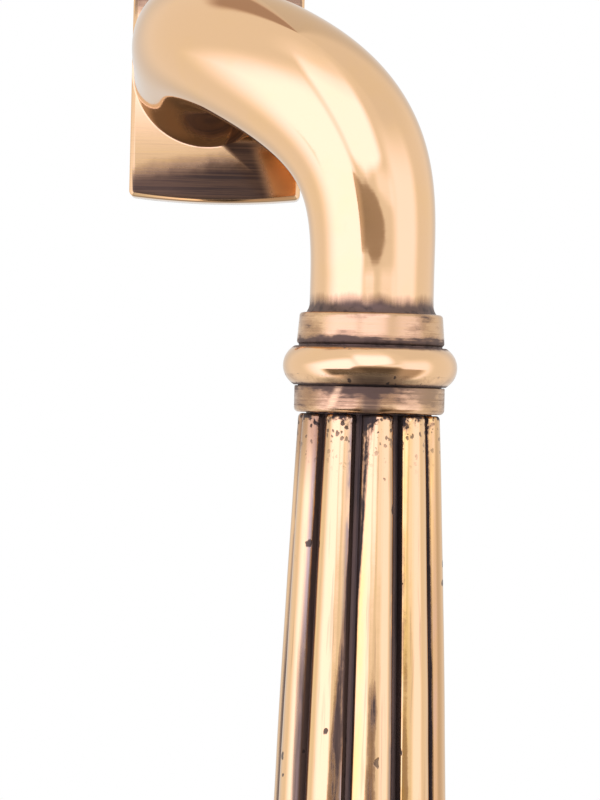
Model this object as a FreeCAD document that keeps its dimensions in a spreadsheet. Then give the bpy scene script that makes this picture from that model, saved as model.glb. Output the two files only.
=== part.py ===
import FreeCAD, Part
import math
import os

import Sketcher

# Espagnolette window handle.
# Millimetres. The origin is on the spindle's axis at the back of the plate, where it meets the
# window. +Y goes into the window, -Y to the person, +X to the right and +Z up.
# The handle hangs down in its closed position.

Vector = FreeCAD.Vector
doc = FreeCAD.newDocument("espagnolette_handle")
os.makedirs("parts", exist_ok=True)

SIZES = (
    # back plate
    ("plate_width", 22.4),
    ("plate_height", 34.0),
    ("plate_arch", 0.65),
    ("plate_thickness", 6.5),
    ("plate_shift", 1.2),
    ("plate_bevel", 0.6),
    ("corner_round", 0.8),
    ("dome_radius", 320.0),
    ("seat_depth", 0.15),
    ("seat_margin", 0.15),
    ("fixing_spacing", 26.0),
    ("fixing_diameter", 4.2),
    ("fixing_depth", 5.0),
    # bearing and its retaining parts
    ("journal_diameter", 12.4),
    ("running_gap", 0.04),
    ("bush_wall", 0.56),
    ("bush_flange_width", 0.9),
    ("bush_flange_thickness", 0.6),
    ("pocket_depth", 3.2),
    ("pocket_diameter", 16.8),
    ("axial_gap", 0.05),
    ("wave_washer_thickness", 0.5),
    ("stop_washer_thickness", 1.0),
    ("stop_washer_margin", 0.2),
    ("stop_tab_reach", 1.4),
    ("stop_tab_angle", 20.0),
    ("stop_slack_angle", 1.0),
    ("turn_angle", 90.0),
    ("key_flats", 10.8),
    ("clip_thickness", 0.65),
    ("clip_groove_depth", 0.7),
    ("clip_width", 2.0),
    ("clip_opening_angle", 60.0),
    ("journal_recess", 0.2),
    ("fit_gap", 0.05),
    # spindle
    ("spindle_size", 7.0),
    ("spindle_out", 32.0),
    ("spindle_in", 13.9),
    ("spindle_chamfer", 0.6),
    ("spindle_pin_diameter", 2.0),
    ("spindle_pin_depth", 4.8),
    # ball detents
    ("ball_diameter", 2.0),
    ("ball_circle_diameter", 15.6),
    ("ball_reach", 0.35),
    ("ball_gap", 0.08),
    ("dimple_depth", 0.15),
    ("ball_hole_depth", 4.5),
    ("spring_wall", 0.4),
    # neck
    ("root_radius", 9.8),
    ("neck_lead", 6.15),
    ("crest_side", 2.2),
    ("crest_reach", 30.35),
    ("crest_rise", 5.35),
    ("saddle_side", 13.9),
    ("saddle_reach", 27.8),
    ("saddle_rise", 3.15),
    ("turn_side", 20.3),
    ("turn_reach", 47.15),
    ("turn_drop", 2.25),
    ("grip_side", 21.45),
    ("grip_reach", 44.0),
    ("neck_run", 20.7),
    ("neck_drop", 27.6),
    ("shoulder_pull", 9.5),
    ("crest_pull", 9.85),
    ("waist_pull", 4.2),
    ("bend_pull", 12.0),
    ("neck_foot_radius", 7.5),
    ("neck_foot_length", 3.25),
    ("flare_length", 1.1),
    ("flare_width", 0.4),
    # turned rings, from the neck's foot down
    ("collar_top_radius", 8.65),
    ("collar_foot_radius", 8.95),
    ("collar_length", 3.85),
    ("crevice_length", 0.2),
    ("crevice_radius", 8.7),
    ("bead_radius", 10.55),
    ("bead_length", 4.7),
    ("bead_curve_radius", 2.7),
    ("band_radius", 9.1),
    ("band_length", 3.2),
    ("band_round", 0.55),
    ("edge_round", 0.35),
    # grip
    ("reed_count", 10.0),
    ("reed_turn_angle", 7.5),
    ("grip_top_radius", 8.65),
    ("grip_mid_radius", 9.95),
    ("grip_foot_radius", 10.9),
    ("grip_length", 60.25),
    ("reed_edge_drop", 0.8),
    ("groove_depth", 1.6),
    ("groove_width", 1.25),
    ("groove_floor_width", 0.6),
    ("grip_spigot_radius", 7.6),
    ("grip_spigot_length", 0.15),
    # foot
    ("end_collar_radius", 11.2),
    ("end_collar_length", 3.4),
    ("end_bead_radius", 12.5),
    ("end_bead_length", 4.9),
    ("end_bead_curve_radius", 2.7),
    ("cap_radius", 9.8),
    ("cap_side_length", 1.2),
    ("cap_dome_length", 6.0),
    # stud and dowel
    ("stud_diameter", 6.0),
    ("stud_grip_top", 8.0),
    ("stud_grip_foot", 5.0),
    ("stud_clearance", 0.2),
    ("dowel_diameter", 2.0),
    ("dowel_offset", 5.1),
    ("dowel_in_neck", 3.0),
    ("dowel_in_grip", 5.0),
    ("lock_washer_radius", 5.4),
    ("lock_washer_thickness", 1.2),
    # how far a cutting shape passes the face that it cuts through
    ("cut_over", 1.0),
)

sheet = doc.addObject("Spreadsheet::Sheet", "Sizes")
for row, (alias, number) in enumerate(SIZES, start=1):
    cell = "B" + str(row)
    sheet.set("A" + str(row), alias)
    sheet.set(cell, str(number))
    sheet.setAlias(cell, alias)
doc.recompute()


def size(expression):
    """The present value of an expression over the sheet's sizes."""
    value = sheet.evalExpression(expression)
    return float(getattr(value, "Value", value))


# Levels and radii that more than one piece shares, each worked out once from the sheet.
# Depths count from the back of the plate towards the person, so a place is at minus its depth.
SEAT = "(Sizes.plate_thickness - Sizes.seat_depth)"
ROOT = "(Sizes.plate_thickness - Sizes.seat_depth + Sizes.axial_gap)"
JOURNAL_RADIUS = "(Sizes.journal_diameter / 2)"
BUSH_BORE = "(Sizes.journal_diameter / 2 + Sizes.running_gap)"
BUSH_RADIUS = "(Sizes.journal_diameter / 2 + Sizes.running_gap + Sizes.bush_wall)"
FLANGE_FACE = "(Sizes.pocket_depth - Sizes.bush_flange_thickness)"
WAVE_FRONT = "(" + FLANGE_FACE + " - Sizes.axial_gap)"
STOP_FRONT = "(" + WAVE_FRONT + " - Sizes.wave_washer_thickness)"
STOP_BACK = "(" + STOP_FRONT + " - Sizes.stop_washer_thickness)"
CLIP_BACK = "(" + STOP_BACK + " - Sizes.clip_thickness)"
POCKET_RADIUS = "(Sizes.pocket_diameter / 2)"
WASHER_RADIUS = "(Sizes.pocket_diameter / 2 - Sizes.stop_washer_margin)"
TAB_RADIUS = "(" + WASHER_RADIUS + " + Sizes.stop_tab_reach)"
GROOVE_RADIUS = "(Sizes.journal_diameter / 2 - Sizes.clip_groove_depth)"
BALL_RADIUS = "(Sizes.ball_diameter / 2)"
BALL_CIRCLE = "(Sizes.ball_circle_diameter / 2)"
BALL_DEPTH = "(" + ROOT + " + Sizes.ball_diameter / 2 - Sizes.ball_reach)"
BALL_HOLE_RADIUS = "(Sizes.ball_diameter / 2 + Sizes.fit_gap)"
SOCKET = "(Sizes.spindle_size + 2 * Sizes.fit_gap)"

# Heights down the grip's axis, all below the spindle.
NECK_END = "(Sizes.neck_drop + Sizes.neck_foot_length + Sizes.flare_length)"
COLLAR_END = "(" + NECK_END + " + Sizes.collar_length)"
BEAD_END = "(" + COLLAR_END + " + Sizes.crevice_length + Sizes.bead_length)"
BAND_END = "(" + BEAD_END + " + Sizes.crevice_length / 2 + Sizes.band_length)"
REEDS_TOP = "(" + BAND_END + " + Sizes.grip_spigot_length)"
REEDS_END = "(" + REEDS_TOP + " + Sizes.grip_length)"
END_COLLAR_END = "(" + REEDS_END + " + Sizes.end_collar_length)"
END_BEAD_END = "(" + END_COLLAR_END + " + Sizes.crevice_length + Sizes.end_bead_length)"
STUD_TOP = "(" + NECK_END + " - Sizes.stud_grip_top)"
STUD_END = "(" + END_BEAD_END + " + Sizes.stud_grip_foot)"
STUD_HOLE = "(Sizes.stud_diameter / 2 + Sizes.stud_clearance)"
DOWEL_TOP = "(" + NECK_END + " - Sizes.dowel_in_neck)"
DOWEL_END = "(" + REEDS_TOP + " + Sizes.dowel_in_grip)"

# A bead's curve starts and ends where its arc meets the flat faces above and below it.
BEAD_SHOULDER = ("(Sizes.bead_radius - Sizes.bead_curve_radius"
                 " + sqrt(Sizes.bead_curve_radius ^ 2 - Sizes.bead_length ^ 2 / 4))")
END_BEAD_SHOULDER = ("(Sizes.end_bead_radius - Sizes.end_bead_curve_radius"
                     " + sqrt(Sizes.end_bead_curve_radius ^ 2 - Sizes.end_bead_length ^ 2 / 4))")
WASHER_HOUSING = "(Sizes.lock_washer_radius + Sizes.fit_gap)"

# How many spans the lofted pieces are drawn in.
NECK_SPANS = 16
GRIP_SPANS = 6

nodes = {}


def keep(name, feature):
    """Record a finished piece under the name of its node."""
    feature.Label = name
    nodes[name] = feature
    return feature


def bind(target, **expressions):
    """Bind properties to expressions; a double underscore stands for a dot."""
    for name, expression in expressions.items():
        target.setExpression(name.replace("__", "."), expression)
    return target


def plane(body, role):
    """One of a body's own origin planes."""
    return [item for item in body.Origin.OriginFeatures if item.Role == role][0]


def new_sketch(body, role, name):
    sketch = body.newObject("Sketcher::SketchObject", name)
    sketch.AttachmentSupport = [(plane(body, role), "")]
    sketch.MapMode = "FlatFace"
    return sketch


def fix_point(sketch, edge, end, corner):
    """Tie one end of an edge to a corner's two expressions."""
    for kind, expression in zip(("DistanceX", "DistanceY"), corner):
        index = sketch.addConstraint(
            Sketcher.Constraint(kind, -1, 1, edge, end, size(expression)))
        sketch.setExpression("Constraints[" + str(index) + "]", expression)


def arc_between(start, end, radius):
    """The arc under a half circle from start to end; a positive radius bulges to the right."""
    chord = end - start
    middle = (start + end) * 0.5
    across = Vector(-chord.y, chord.x, 0)
    across.normalize()
    rise = math.sqrt(radius * radius - (chord.Length / 2) ** 2)
    centre = middle + across * math.copysign(rise, radius)
    circle = Part.Circle(centre, Vector(0, 0, 1), abs(radius))
    first, last = (start, end) if radius > 0 else (end, start)
    return Part.ArcOfCircle(circle, circle.parameter(first), circle.parameter(last))


def outline(sketch, corners, arcs=None):
    """Close a chain of lines and arcs through the corners, all tied to the sheet."""
    arcs = arcs or {}
    points = [Vector(size(x), size(y), 0) for x, y in corners]
    count = len(points)
    base = sketch.GeometryCount
    for index in range(count):
        start, end = points[index], points[(index + 1) % count]
        if index in arcs:
            sign = -1 if arcs[index].startswith("-") else 1
            radius = size(arcs[index].lstrip("-"))
            sketch.addGeometry(arc_between(start, end, sign * radius), False)
        else:
            sketch.addGeometry(Part.LineSegment(start, end), False)

    def end_of(index, at_start):
        turned = index in arcs and arcs[index].startswith("-")
        return 2 if at_start == turned else 1

    for index in range(count):
        after = (index + 1) % count
        sketch.addConstraint(Sketcher.Constraint(
            "Coincident", base + index, end_of(index, False), base + after, end_of(after, True)))
        fix_point(sketch, base + index, end_of(index, True), corners[index])
    for index, expression in arcs.items():
        radius = expression.lstrip("-")
        number = sketch.addConstraint(Sketcher.Constraint("Radius", base + index, size(radius)))
        sketch.setExpression("Constraints[" + str(number) + "]", radius)


def pad(body, sketch, length):
    feature = body.newObject("PartDesign::Pad", "Pad")
    feature.Profile = sketch
    feature.setExpression("Length", length)
    body.Tip = feature
    doc.recompute()
    return feature


def turned(name, corners, arcs=None):
    """A piece turned on the grip's axis: corners are radius and height."""
    body = doc.addObject("PartDesign::Body", name)
    sketch = new_sketch(body, "XZ_Plane", name + "_profile")
    outline(sketch, corners, arcs)
    feature = body.newObject("PartDesign::Revolution", name + "_turn")
    feature.Profile = sketch
    feature.ReferenceAxis = (sketch, ["V_Axis"])
    feature.Angle = 360
    body.Tip = feature
    bind(body, Placement__Base__x="Sizes.grip_side", Placement__Base__y="-Sizes.grip_reach")
    doc.recompute()
    return body


def turned_on_spindle(name, corners, arcs=None):
    """A piece turned on the spindle's axis: corners are the place along Y and the radius."""
    body = doc.addObject("PartDesign::Body", name)
    sketch = new_sketch(body, "YZ_Plane", name + "_profile")
    outline(sketch, corners, arcs)
    feature = body.newObject("PartDesign::Revolution", name + "_turn")
    feature.Profile = sketch
    feature.ReferenceAxis = (sketch, ["H_Axis"])
    feature.Angle = 360
    body.Tip = feature
    doc.recompute()
    return body


# Directions of the plain cylinders: a cylinder is made along +Z and turned to where it points.
ALONG_Y = FreeCAD.Rotation(Vector(1, 0, 0), -90)
ALONG_X = FreeCAD.Rotation(Vector(0, 1, 0), 90)
ALONG_Z = FreeCAD.Rotation()


def rod(name, radius, length, place, turn):
    """A plain cylinder with its size and its place tied to the sheet."""
    feature = doc.addObject("Part::Cylinder", name)
    feature.Placement = FreeCAD.Placement(Vector(), turn)
    bind(feature, Radius=radius, Height=length)
    bind(feature, Placement__Base__x=place[0], Placement__Base__y=place[1],
         Placement__Base__z=place[2])
    return feature


def block(name, sides, place):
    """A plain box with its size and its place tied to the sheet."""
    feature = doc.addObject("Part::Box", name)
    bind(feature, Length=sides[0], Width=sides[1], Height=sides[2])
    bind(feature, Placement__Base__x=place[0], Placement__Base__y=place[1],
         Placement__Base__z=place[2])
    return feature


def sector(name, radius, length, back, start_angle, angle):
    """A slice of a disc about the spindle's axis, seen from the front, from back forwards."""
    feature = doc.addObject("Part::Cylinder", name)
    bind(feature, Radius=radius, Height=length, Angle=angle)
    lie_down = FreeCAD.Rotation(Vector(1, 0, 0), 90)
    turn = FreeCAD.Rotation(Vector(0, -1, 0), start_angle)
    feature.Placement = FreeCAD.Placement(Vector(), turn.multiply(lie_down))
    bind(feature, Placement__Base__y="-" + back)
    return feature


def cut(name, base, tools):
    """The base less all of the tools."""
    joined = tools[0]
    if len(tools) > 1:
        joined = doc.addObject("Part::MultiFuse", name + "_tools")
        joined.Shapes = tools
    feature = doc.addObject("Part::Cut", name)
    feature.Base = base
    feature.Tool = joined
    doc.recompute()
    return feature


def fuse(name, shapes):
    feature = doc.addObject("Part::MultiFuse", name)
    feature.Shapes = shapes
    feature.Refine = True
    doc.recompute()
    return feature


def make_back_plate():
    body = doc.addObject("PartDesign::Body", "plate_blank")
    sketch = new_sketch(body, "XZ_Plane", "plate_outline")
    left = "Sizes.plate_shift - Sizes.plate_width / 2"
    right = "Sizes.plate_shift + Sizes.plate_width / 2"
    corner = "(Sizes.plate_height / 2 - Sizes.plate_arch)"
    arch = "((Sizes.plate_width ^ 2 / 4 + Sizes.plate_arch ^ 2) / (2 * Sizes.plate_arch))"
    outline(sketch,
            [(left, "-" + corner), (right, "-" + corner), (right, corner), (left, corner)],
            {0: arch, 2: arch})
    blank = pad(body, sketch, "Sizes.plate_thickness")
    rounding = body.newObject("PartDesign::Fillet", "plate_corners")
    upright = [index for index, edge in enumerate(blank.Shape.Edges, start=1)
               if edge.BoundBox.XLength < 1e-6 and edge.BoundBox.ZLength < 1e-6]
    rounding.Base = (blank, ["Edge" + str(index) for index in upright])
    rounding.setExpression("Radius", "Sizes.corner_round")
    body.Tip = rounding
    doc.recompute()
    ball = doc.addObject("Part::Sphere", "plate_dome")
    bind(ball, Radius="Sizes.dome_radius",
         Placement__Base__y="Sizes.dome_radius - Sizes.plate_thickness")
    domed = doc.addObject("Part::Common", "plate_domed")
    domed.Base = body
    domed.Tool = ball
    doc.recompute()
    bevelled = doc.addObject("Part::Chamfer", "plate_bevelled")
    bevelled.Base = domed
    front = -size("Sizes.plate_thickness") / 2
    bevel = size("Sizes.plate_bevel")
    bevelled.Edges = [(index, bevel, bevel)
                      for index, edge in enumerate(domed.Shape.Edges, start=1)
                      if edge.BoundBox.YMax < front]
    doc.recompute()
    whole = "Sizes.plate_thickness + 2 * Sizes.cut_over"
    tools = [
        rod("seat_face", "Sizes.root_radius + Sizes.seat_margin", "Sizes.cut_over",
            ("0", "-" + SEAT + " - Sizes.cut_over", "0"), ALONG_Y),
        rod("bush_bore", BUSH_RADIUS, whole,
            ("0", "-Sizes.plate_thickness - Sizes.cut_over", "0"), ALONG_Y),
        rod("rear_pocket", POCKET_RADIUS, "Sizes.pocket_depth + Sizes.cut_over",
            ("0", "-Sizes.pocket_depth", "0"), ALONG_Y),
        sector("stop_recess", TAB_RADIUS + " + Sizes.stop_washer_margin",
               STOP_FRONT + " + Sizes.axial_gap + Sizes.cut_over", "-Sizes.cut_over",
               -size("(Sizes.turn_angle + Sizes.stop_tab_angle) / 2 + Sizes.stop_slack_angle"),
               "Sizes.turn_angle + Sizes.stop_tab_angle + 2 * Sizes.stop_slack_angle"),
    ]
    for side in (-1, 1):
        tools.append(rod("fixing_hole", "Sizes.fixing_diameter / 2",
                         "Sizes.fixing_depth + Sizes.cut_over",
                         ("0", "-Sizes.fixing_depth", str(side) + " * Sizes.fixing_spacing / 2"),
                         ALONG_Y))
    track = doc.addObject("Part::Torus", "ball_track")
    track.Placement = FreeCAD.Placement(Vector(), ALONG_Y)
    bind(track, Radius1=BALL_CIRCLE, Radius2=BALL_RADIUS + " + Sizes.ball_gap",
         Placement__Base__y="-" + BALL_DEPTH)
    tools.append(track)
    for quarter in range(4):
        dimple = doc.addObject("Part::Sphere", "dimple")
        across = str(round(math.cos(quarter * math.pi / 2)))
        upward = str(round(math.sin(quarter * math.pi / 2)))
        bind(dimple, Radius=BALL_RADIUS + " + Sizes.ball_gap",
             Placement__Base__x=across + " * " + BALL_CIRCLE,
             Placement__Base__y="-" + BALL_DEPTH + " + Sizes.dimple_depth",
             Placement__Base__z=upward + " * " + BALL_CIRCLE)
        tools.append(dimple)
    keep("back_plate", cut("back_plate", bevelled, tools))


def make_pivot_bush():
    front = "-" + SEAT + " + Sizes.axial_gap"
    flange = BUSH_RADIUS + " + Sizes.bush_flange_width"
    keep("pivot_bush", turned_on_spindle("pivot_bush", [
        (front, BUSH_BORE), (front, BUSH_RADIUS),
        ("-Sizes.pocket_depth", BUSH_RADIUS), ("-Sizes.pocket_depth", flange),
        ("-" + FLANGE_FACE, flange), ("-" + FLANGE_FACE, BUSH_BORE)]))


def make_wave_washer():
    inner = JOURNAL_RADIUS + " + Sizes.running_gap"
    outer = BUSH_RADIUS + " + Sizes.bush_flange_width"
    keep("wave_washer", turned_on_spindle("wave_washer", [
        ("-" + WAVE_FRONT, inner), ("-" + WAVE_FRONT, outer),
        ("-" + STOP_FRONT, outer), ("-" + STOP_FRONT, inner)]))


def key_flats(name, half, thickness, back):
    """Two blocks that trim a round bar about the spindle's axis to its flats."""
    wide = "Sizes.journal_diameter * 2"
    blocks = []
    for side in (-1, 1):
        bottom = half if side > 0 else "-" + half + " - Sizes.journal_diameter"
        blocks.append(block(name, (wide, thickness, "Sizes.journal_diameter"),
                            ("-Sizes.journal_diameter", back, bottom)))
    return blocks


def make_stop_washer():
    disc = rod("washer_disc", WASHER_RADIUS, "Sizes.stop_washer_thickness",
               ("0", "-" + STOP_FRONT, "0"), ALONG_Y)
    tab = sector("washer_tab", TAB_RADIUS, "Sizes.stop_washer_thickness", STOP_BACK,
                 -size("(Sizes.turn_angle + Sizes.stop_tab_angle) / 2"), "Sizes.stop_tab_angle")
    blank = fuse("washer_blank", [disc, tab])
    through = "(Sizes.stop_washer_thickness + 2 * Sizes.cut_over)"
    start = "-" + STOP_FRONT + " - Sizes.cut_over"
    hole_round = rod("washer_hole_round", JOURNAL_RADIUS + " + Sizes.fit_gap", through,
                     ("0", start, "0"), ALONG_Y)
    hole = cut("washer_hole", hole_round,
               key_flats("washer_flat", "(Sizes.key_flats / 2 + Sizes.fit_gap)", through, start))
    keep("stop_washer", cut("stop_washer", blank, [hole]))


def make_retaining_clip():
    outer = GROOVE_RADIUS + " + Sizes.clip_width"
    disc = rod("clip_disc", outer, "Sizes.clip_thickness - Sizes.axial_gap",
               ("0", "-" + STOP_BACK, "0"), ALONG_Y)
    through = "Sizes.clip_thickness + 2 * Sizes.cut_over"
    bore = rod("clip_bore", GROOVE_RADIUS + " + Sizes.fit_gap", through,
               ("0", "-" + STOP_BACK + " - Sizes.cut_over", "0"), ALONG_Y)
    opening = sector("clip_opening", outer + " + Sizes.cut_over", through,
                     CLIP_BACK + " - Sizes.cut_over",
                     90 - size("Sizes.clip_opening_angle") / 2, "Sizes.clip_opening_angle")
    keep("retaining_clip", cut("retaining_clip", disc, [bore, opening]))


def make_spindle():
    body = doc.addObject("PartDesign::Body", "spindle_bar")
    sketch = new_sketch(body, "XZ_Plane", "spindle_square")
    half = "Sizes.spindle_size / 2"
    outline(sketch, [("-" + half, "-" + half), (half, "-" + half), (half, half), ("-" + half, half)])
    bar = pad(body, sketch, "Sizes.spindle_in + Sizes.spindle_out")
    edges = []
    for index, edge in enumerate(bar.Shape.Edges, start=1):
        if edge.BoundBox.YLength < 1e-6:
            edges.append("Edge" + str(index))
    chamfer = body.newObject("PartDesign::Chamfer", "spindle_ends")
    chamfer.Base = (bar, edges)
    chamfer.setExpression("Size", "Sizes.spindle_chamfer")
    body.Tip = chamfer
    bind(body, Placement__Base__y="Sizes.spindle_out")
    doc.recompute()
    hole = rod("spindle_pin_hole", "Sizes.spindle_pin_diameter / 2", "2 * Sizes.spindle_size",
               ("-Sizes.spindle_size", "-Sizes.spindle_pin_depth", "0"), ALONG_X)
    keep("spindle", cut("spindle", body, [hole]))
    keep("spindle_pin", rod("spindle_pin", "Sizes.spindle_pin_diameter / 2",
                            "Sizes.journal_diameter - 2 * Sizes.fit_gap",
                            ("-Sizes.journal_diameter / 2 + Sizes.fit_gap",
                             "-Sizes.spindle_pin_depth", "0"), ALONG_X))


def curve_point(points, share):
    """A point of the smooth curve that a row of control points pulls along."""
    row = list(points)
    while len(row) > 1:
        row = [first * (1 - share) + second * share for first, second in zip(row, row[1:])]
    return row[0]


def neck_tube():
    """The swan neck: round sections along one smooth curve, lofted into a solid."""
    root = size(ROOT)
    side = size("Sizes.grip_side")
    reach = size("Sizes.grip_reach")
    drop = size("Sizes.neck_drop")
    path = [
        Vector(0, -root, 0),
        Vector(0, -root - size("Sizes.neck_lead"), 0),
        Vector(size("Sizes.crest_side"), -size("Sizes.crest_reach"), size("Sizes.crest_rise")),
        Vector(-size("Sizes.saddle_side"), -size("Sizes.saddle_reach"), size("Sizes.saddle_rise")),
        Vector(size("Sizes.turn_side"), -size("Sizes.turn_reach"), -size("Sizes.turn_drop")),
        Vector(side, -reach, size("Sizes.neck_run") - drop),
        Vector(side, -reach, -drop),
    ]
    steps = [after - before for before, after in zip(path, path[1:])]
    foot = size("Sizes.neck_foot_radius")
    radii = [size("Sizes.root_radius"), size("Sizes.shoulder_pull"), size("Sizes.crest_pull"),
             size("Sizes.waist_pull"), size("Sizes.bend_pull"), foot, foot]
    across = Vector(1, 0, 0)
    sections = []
    for number in range(NECK_SPANS + 1):
        share = number / NECK_SPANS
        along = curve_point(steps, share)
        along.normalize()
        across = across - along * across.dot(along)
        across.normalize()
        turn = FreeCAD.Rotation(across, along.cross(across), along, "ZXY")
        circle = Part.makeCircle(curve_point(radii, share))
        circle.Placement = FreeCAD.Placement(curve_point(path, share), turn)
        sections.append(Part.Wire(circle))
    return Part.makeLoft(sections, True, False)


def make_neck():
    tube = doc.addObject("Part::Feature", "neck_tube")
    tube.Shape = neck_tube()
    foot = turned("neck_foot", [
        ("0", "-Sizes.neck_drop"),
        ("Sizes.neck_foot_radius", "-Sizes.neck_drop"),
        ("Sizes.neck_foot_radius", "-Sizes.neck_drop - Sizes.neck_foot_length"),
        ("Sizes.neck_foot_radius + Sizes.flare_width", "-" + NECK_END),
        ("0", "-" + NECK_END)])
    journal = rod("journal", JOURNAL_RADIUS, ROOT + " - Sizes.journal_recess",
                  ("0", "-" + ROOT, "0"), ALONG_Y)
    groove_ring = rod("groove_ring", JOURNAL_RADIUS + " + Sizes.cut_over",
                      "Sizes.clip_thickness", ("0", "-" + STOP_BACK, "0"), ALONG_Y)
    groove_core = rod("groove_core", GROOVE_RADIUS, "Sizes.clip_thickness + 2 * Sizes.cut_over",
                      ("0", "-" + STOP_BACK + " - Sizes.cut_over", "0"), ALONG_Y)
    groove = cut("clip_groove", groove_ring, [groove_core])
    flats = key_flats("journal_flat", "(Sizes.key_flats / 2)", STOP_FRONT + " + Sizes.cut_over",
                      "-" + STOP_FRONT)
    shaft = cut("journal_shaft", journal, [groove] + flats)
    casting = fuse("neck_casting", [tube, foot, shaft])
    tools = [
        block("square_socket", (SOCKET, "Sizes.spindle_in + Sizes.cut_over", SOCKET),
              ("-" + SOCKET + " / 2", "-Sizes.spindle_in", "-" + SOCKET + " / 2")),
        rod("journal_pin_hole", "Sizes.spindle_pin_diameter / 2", "2 * Sizes.journal_diameter",
            ("-Sizes.journal_diameter", "-Sizes.spindle_pin_depth", "0"), ALONG_X),
        rod("neck_stud_hole", "Sizes.stud_diameter / 2", "Sizes.stud_grip_top + Sizes.cut_over",
            ("Sizes.grip_side", "-Sizes.grip_reach", "-" + NECK_END + " - Sizes.cut_over"),
            ALONG_Z),
        dowel("neck_dowel_hole"),
    ]
    for side in (-1, 1):
        tools.append(rod("ball_hole", BALL_HOLE_RADIUS, "Sizes.ball_hole_depth + Sizes.cut_over",
                         (str(side) + " * " + BALL_CIRCLE, "-" + ROOT + " - Sizes.ball_hole_depth",
                          "0"), ALONG_Y))
    keep("neck", cut("neck", casting, tools))


def make_detents():
    balls = []
    springs = []
    inner = BALL_RADIUS + " - Sizes.spring_wall"
    front = "(" + BALL_DEPTH + " + sqrt((Sizes.ball_diameter / 2) ^ 2 - (" + inner + ") ^ 2))"
    back = "(" + ROOT + " + Sizes.ball_hole_depth)"
    for side in (-1, 1):
        across = str(side) + " * " + BALL_CIRCLE
        ball = doc.addObject("Part::Sphere", "ball")
        bind(ball, Radius=BALL_RADIUS, Placement__Base__x=across,
             Placement__Base__y="-" + BALL_DEPTH)
        balls.append(ball)
        coil = rod("coil", BALL_RADIUS, back + " - " + front, (across, "-" + back, "0"), ALONG_Y)
        core = rod("coil_core", inner, back + " - " + front + " + 2 * Sizes.cut_over",
                   (across, "-" + back + " - Sizes.cut_over", "0"), ALONG_Y)
        springs.append(cut("spring_tube", coil, [core]))
    for name, pieces in (("detent_balls", balls), ("detent_springs", springs)):
        group = doc.addObject("Part::Compound", name)
        group.Links = pieces
        keep(name, group)


def dowel(name):
    """The dowel's own cylinder, which also cuts its hole in each piece that it passes."""
    return rod(name, "Sizes.dowel_diameter / 2", DOWEL_END + " - " + DOWEL_TOP,
               ("Sizes.grip_side", "-Sizes.grip_reach + Sizes.dowel_offset", "-" + DOWEL_END), ALONG_Z)


def drilled(name, body):
    """A turned piece near the neck, with the dowel's hole through it."""
    return keep(name, cut(name, body, [dowel(name + "_dowel_hole")]))


def make_rings():
    drilled("neck_collar", turned("neck_collar_blank", [
        (STUD_HOLE, "-" + NECK_END),
        ("Sizes.collar_top_radius - Sizes.edge_round", "-" + NECK_END),
        ("Sizes.collar_top_radius", "-" + NECK_END + " - Sizes.edge_round"),
        ("Sizes.collar_foot_radius", "-" + COLLAR_END + " + Sizes.edge_round"),
        ("Sizes.collar_foot_radius - Sizes.edge_round", "-" + COLLAR_END),
        (STUD_HOLE, "-" + COLLAR_END)],
        {1: "-Sizes.edge_round", 3: "-Sizes.edge_round"}))
    bead_top = "(" + COLLAR_END + " + Sizes.crevice_length)"
    drilled("bead_ring", turned("bead_blank", [
        (STUD_HOLE, "-" + COLLAR_END),
        ("Sizes.crevice_radius", "-" + COLLAR_END),
        ("Sizes.crevice_radius", "-" + bead_top),
        (BEAD_SHOULDER, "-" + bead_top),
        (BEAD_SHOULDER, "-" + BEAD_END),
        ("Sizes.crevice_radius", "-" + BEAD_END),
        ("Sizes.crevice_radius", "-" + BEAD_END + " - Sizes.crevice_length / 2"),
        (STUD_HOLE, "-" + BEAD_END + " - Sizes.crevice_length / 2")],
        {3: "-Sizes.bead_curve_radius"}))
    band_top = "(" + BEAD_END + " + Sizes.crevice_length / 2)"
    drilled("grip_collar", turned("band_blank", [
        (STUD_HOLE, "-" + band_top),
        ("Sizes.band_radius", "-" + band_top),
        ("Sizes.band_radius", "-" + BAND_END + " + Sizes.band_round"),
        ("Sizes.band_radius - Sizes.band_round", "-" + BAND_END),
        (STUD_HOLE, "-" + BAND_END)],
        {2: "-Sizes.band_round"}))


def reeded_section(radius, height):
    """One cross-section of the grip: a ring of convex reeds with narrow grooves between."""
    count = int(size("Sizes.reed_count"))
    edge = radius - size("Sizes.reed_edge_drop")
    floor = radius - size("Sizes.groove_depth")
    pitch = 2 * math.pi / count
    half_edge = size("Sizes.groove_width") / 2 / edge
    half_floor = size("Sizes.groove_floor_width") / 2 / floor

    def place(reach, angle):
        return Vector(reach * math.sin(angle), -reach * math.cos(angle), height)

    edges = []
    for number in range(count):
        middle = math.radians(size("Sizes.reed_turn_angle")) + number * pitch
        groove = middle + pitch / 2
        start = place(edge, middle - pitch / 2 + half_edge)
        end = place(edge, groove - half_edge)
        floor_start = place(floor, groove - half_floor)
        floor_end = place(floor, groove + half_floor)
        following = place(edge, groove + half_edge)
        edges.append(Part.Arc(start, place(radius, middle), end).toShape())
        edges.append(Part.LineSegment(end, floor_start).toShape())
        edges.append(Part.LineSegment(floor_start, floor_end).toShape())
        edges.append(Part.LineSegment(floor_end, following).toShape())
    return Part.Wire(edges)


def grip_radius(share):
    """The reeds' outer radius, from the top to the foot of the grip, on one shallow curve."""
    top = size("Sizes.grip_top_radius")
    middle = size("Sizes.grip_mid_radius")
    foot = size("Sizes.grip_foot_radius")
    pull = 2 * middle - (top + foot) / 2
    return curve_point([top, pull, foot], share)


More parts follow.
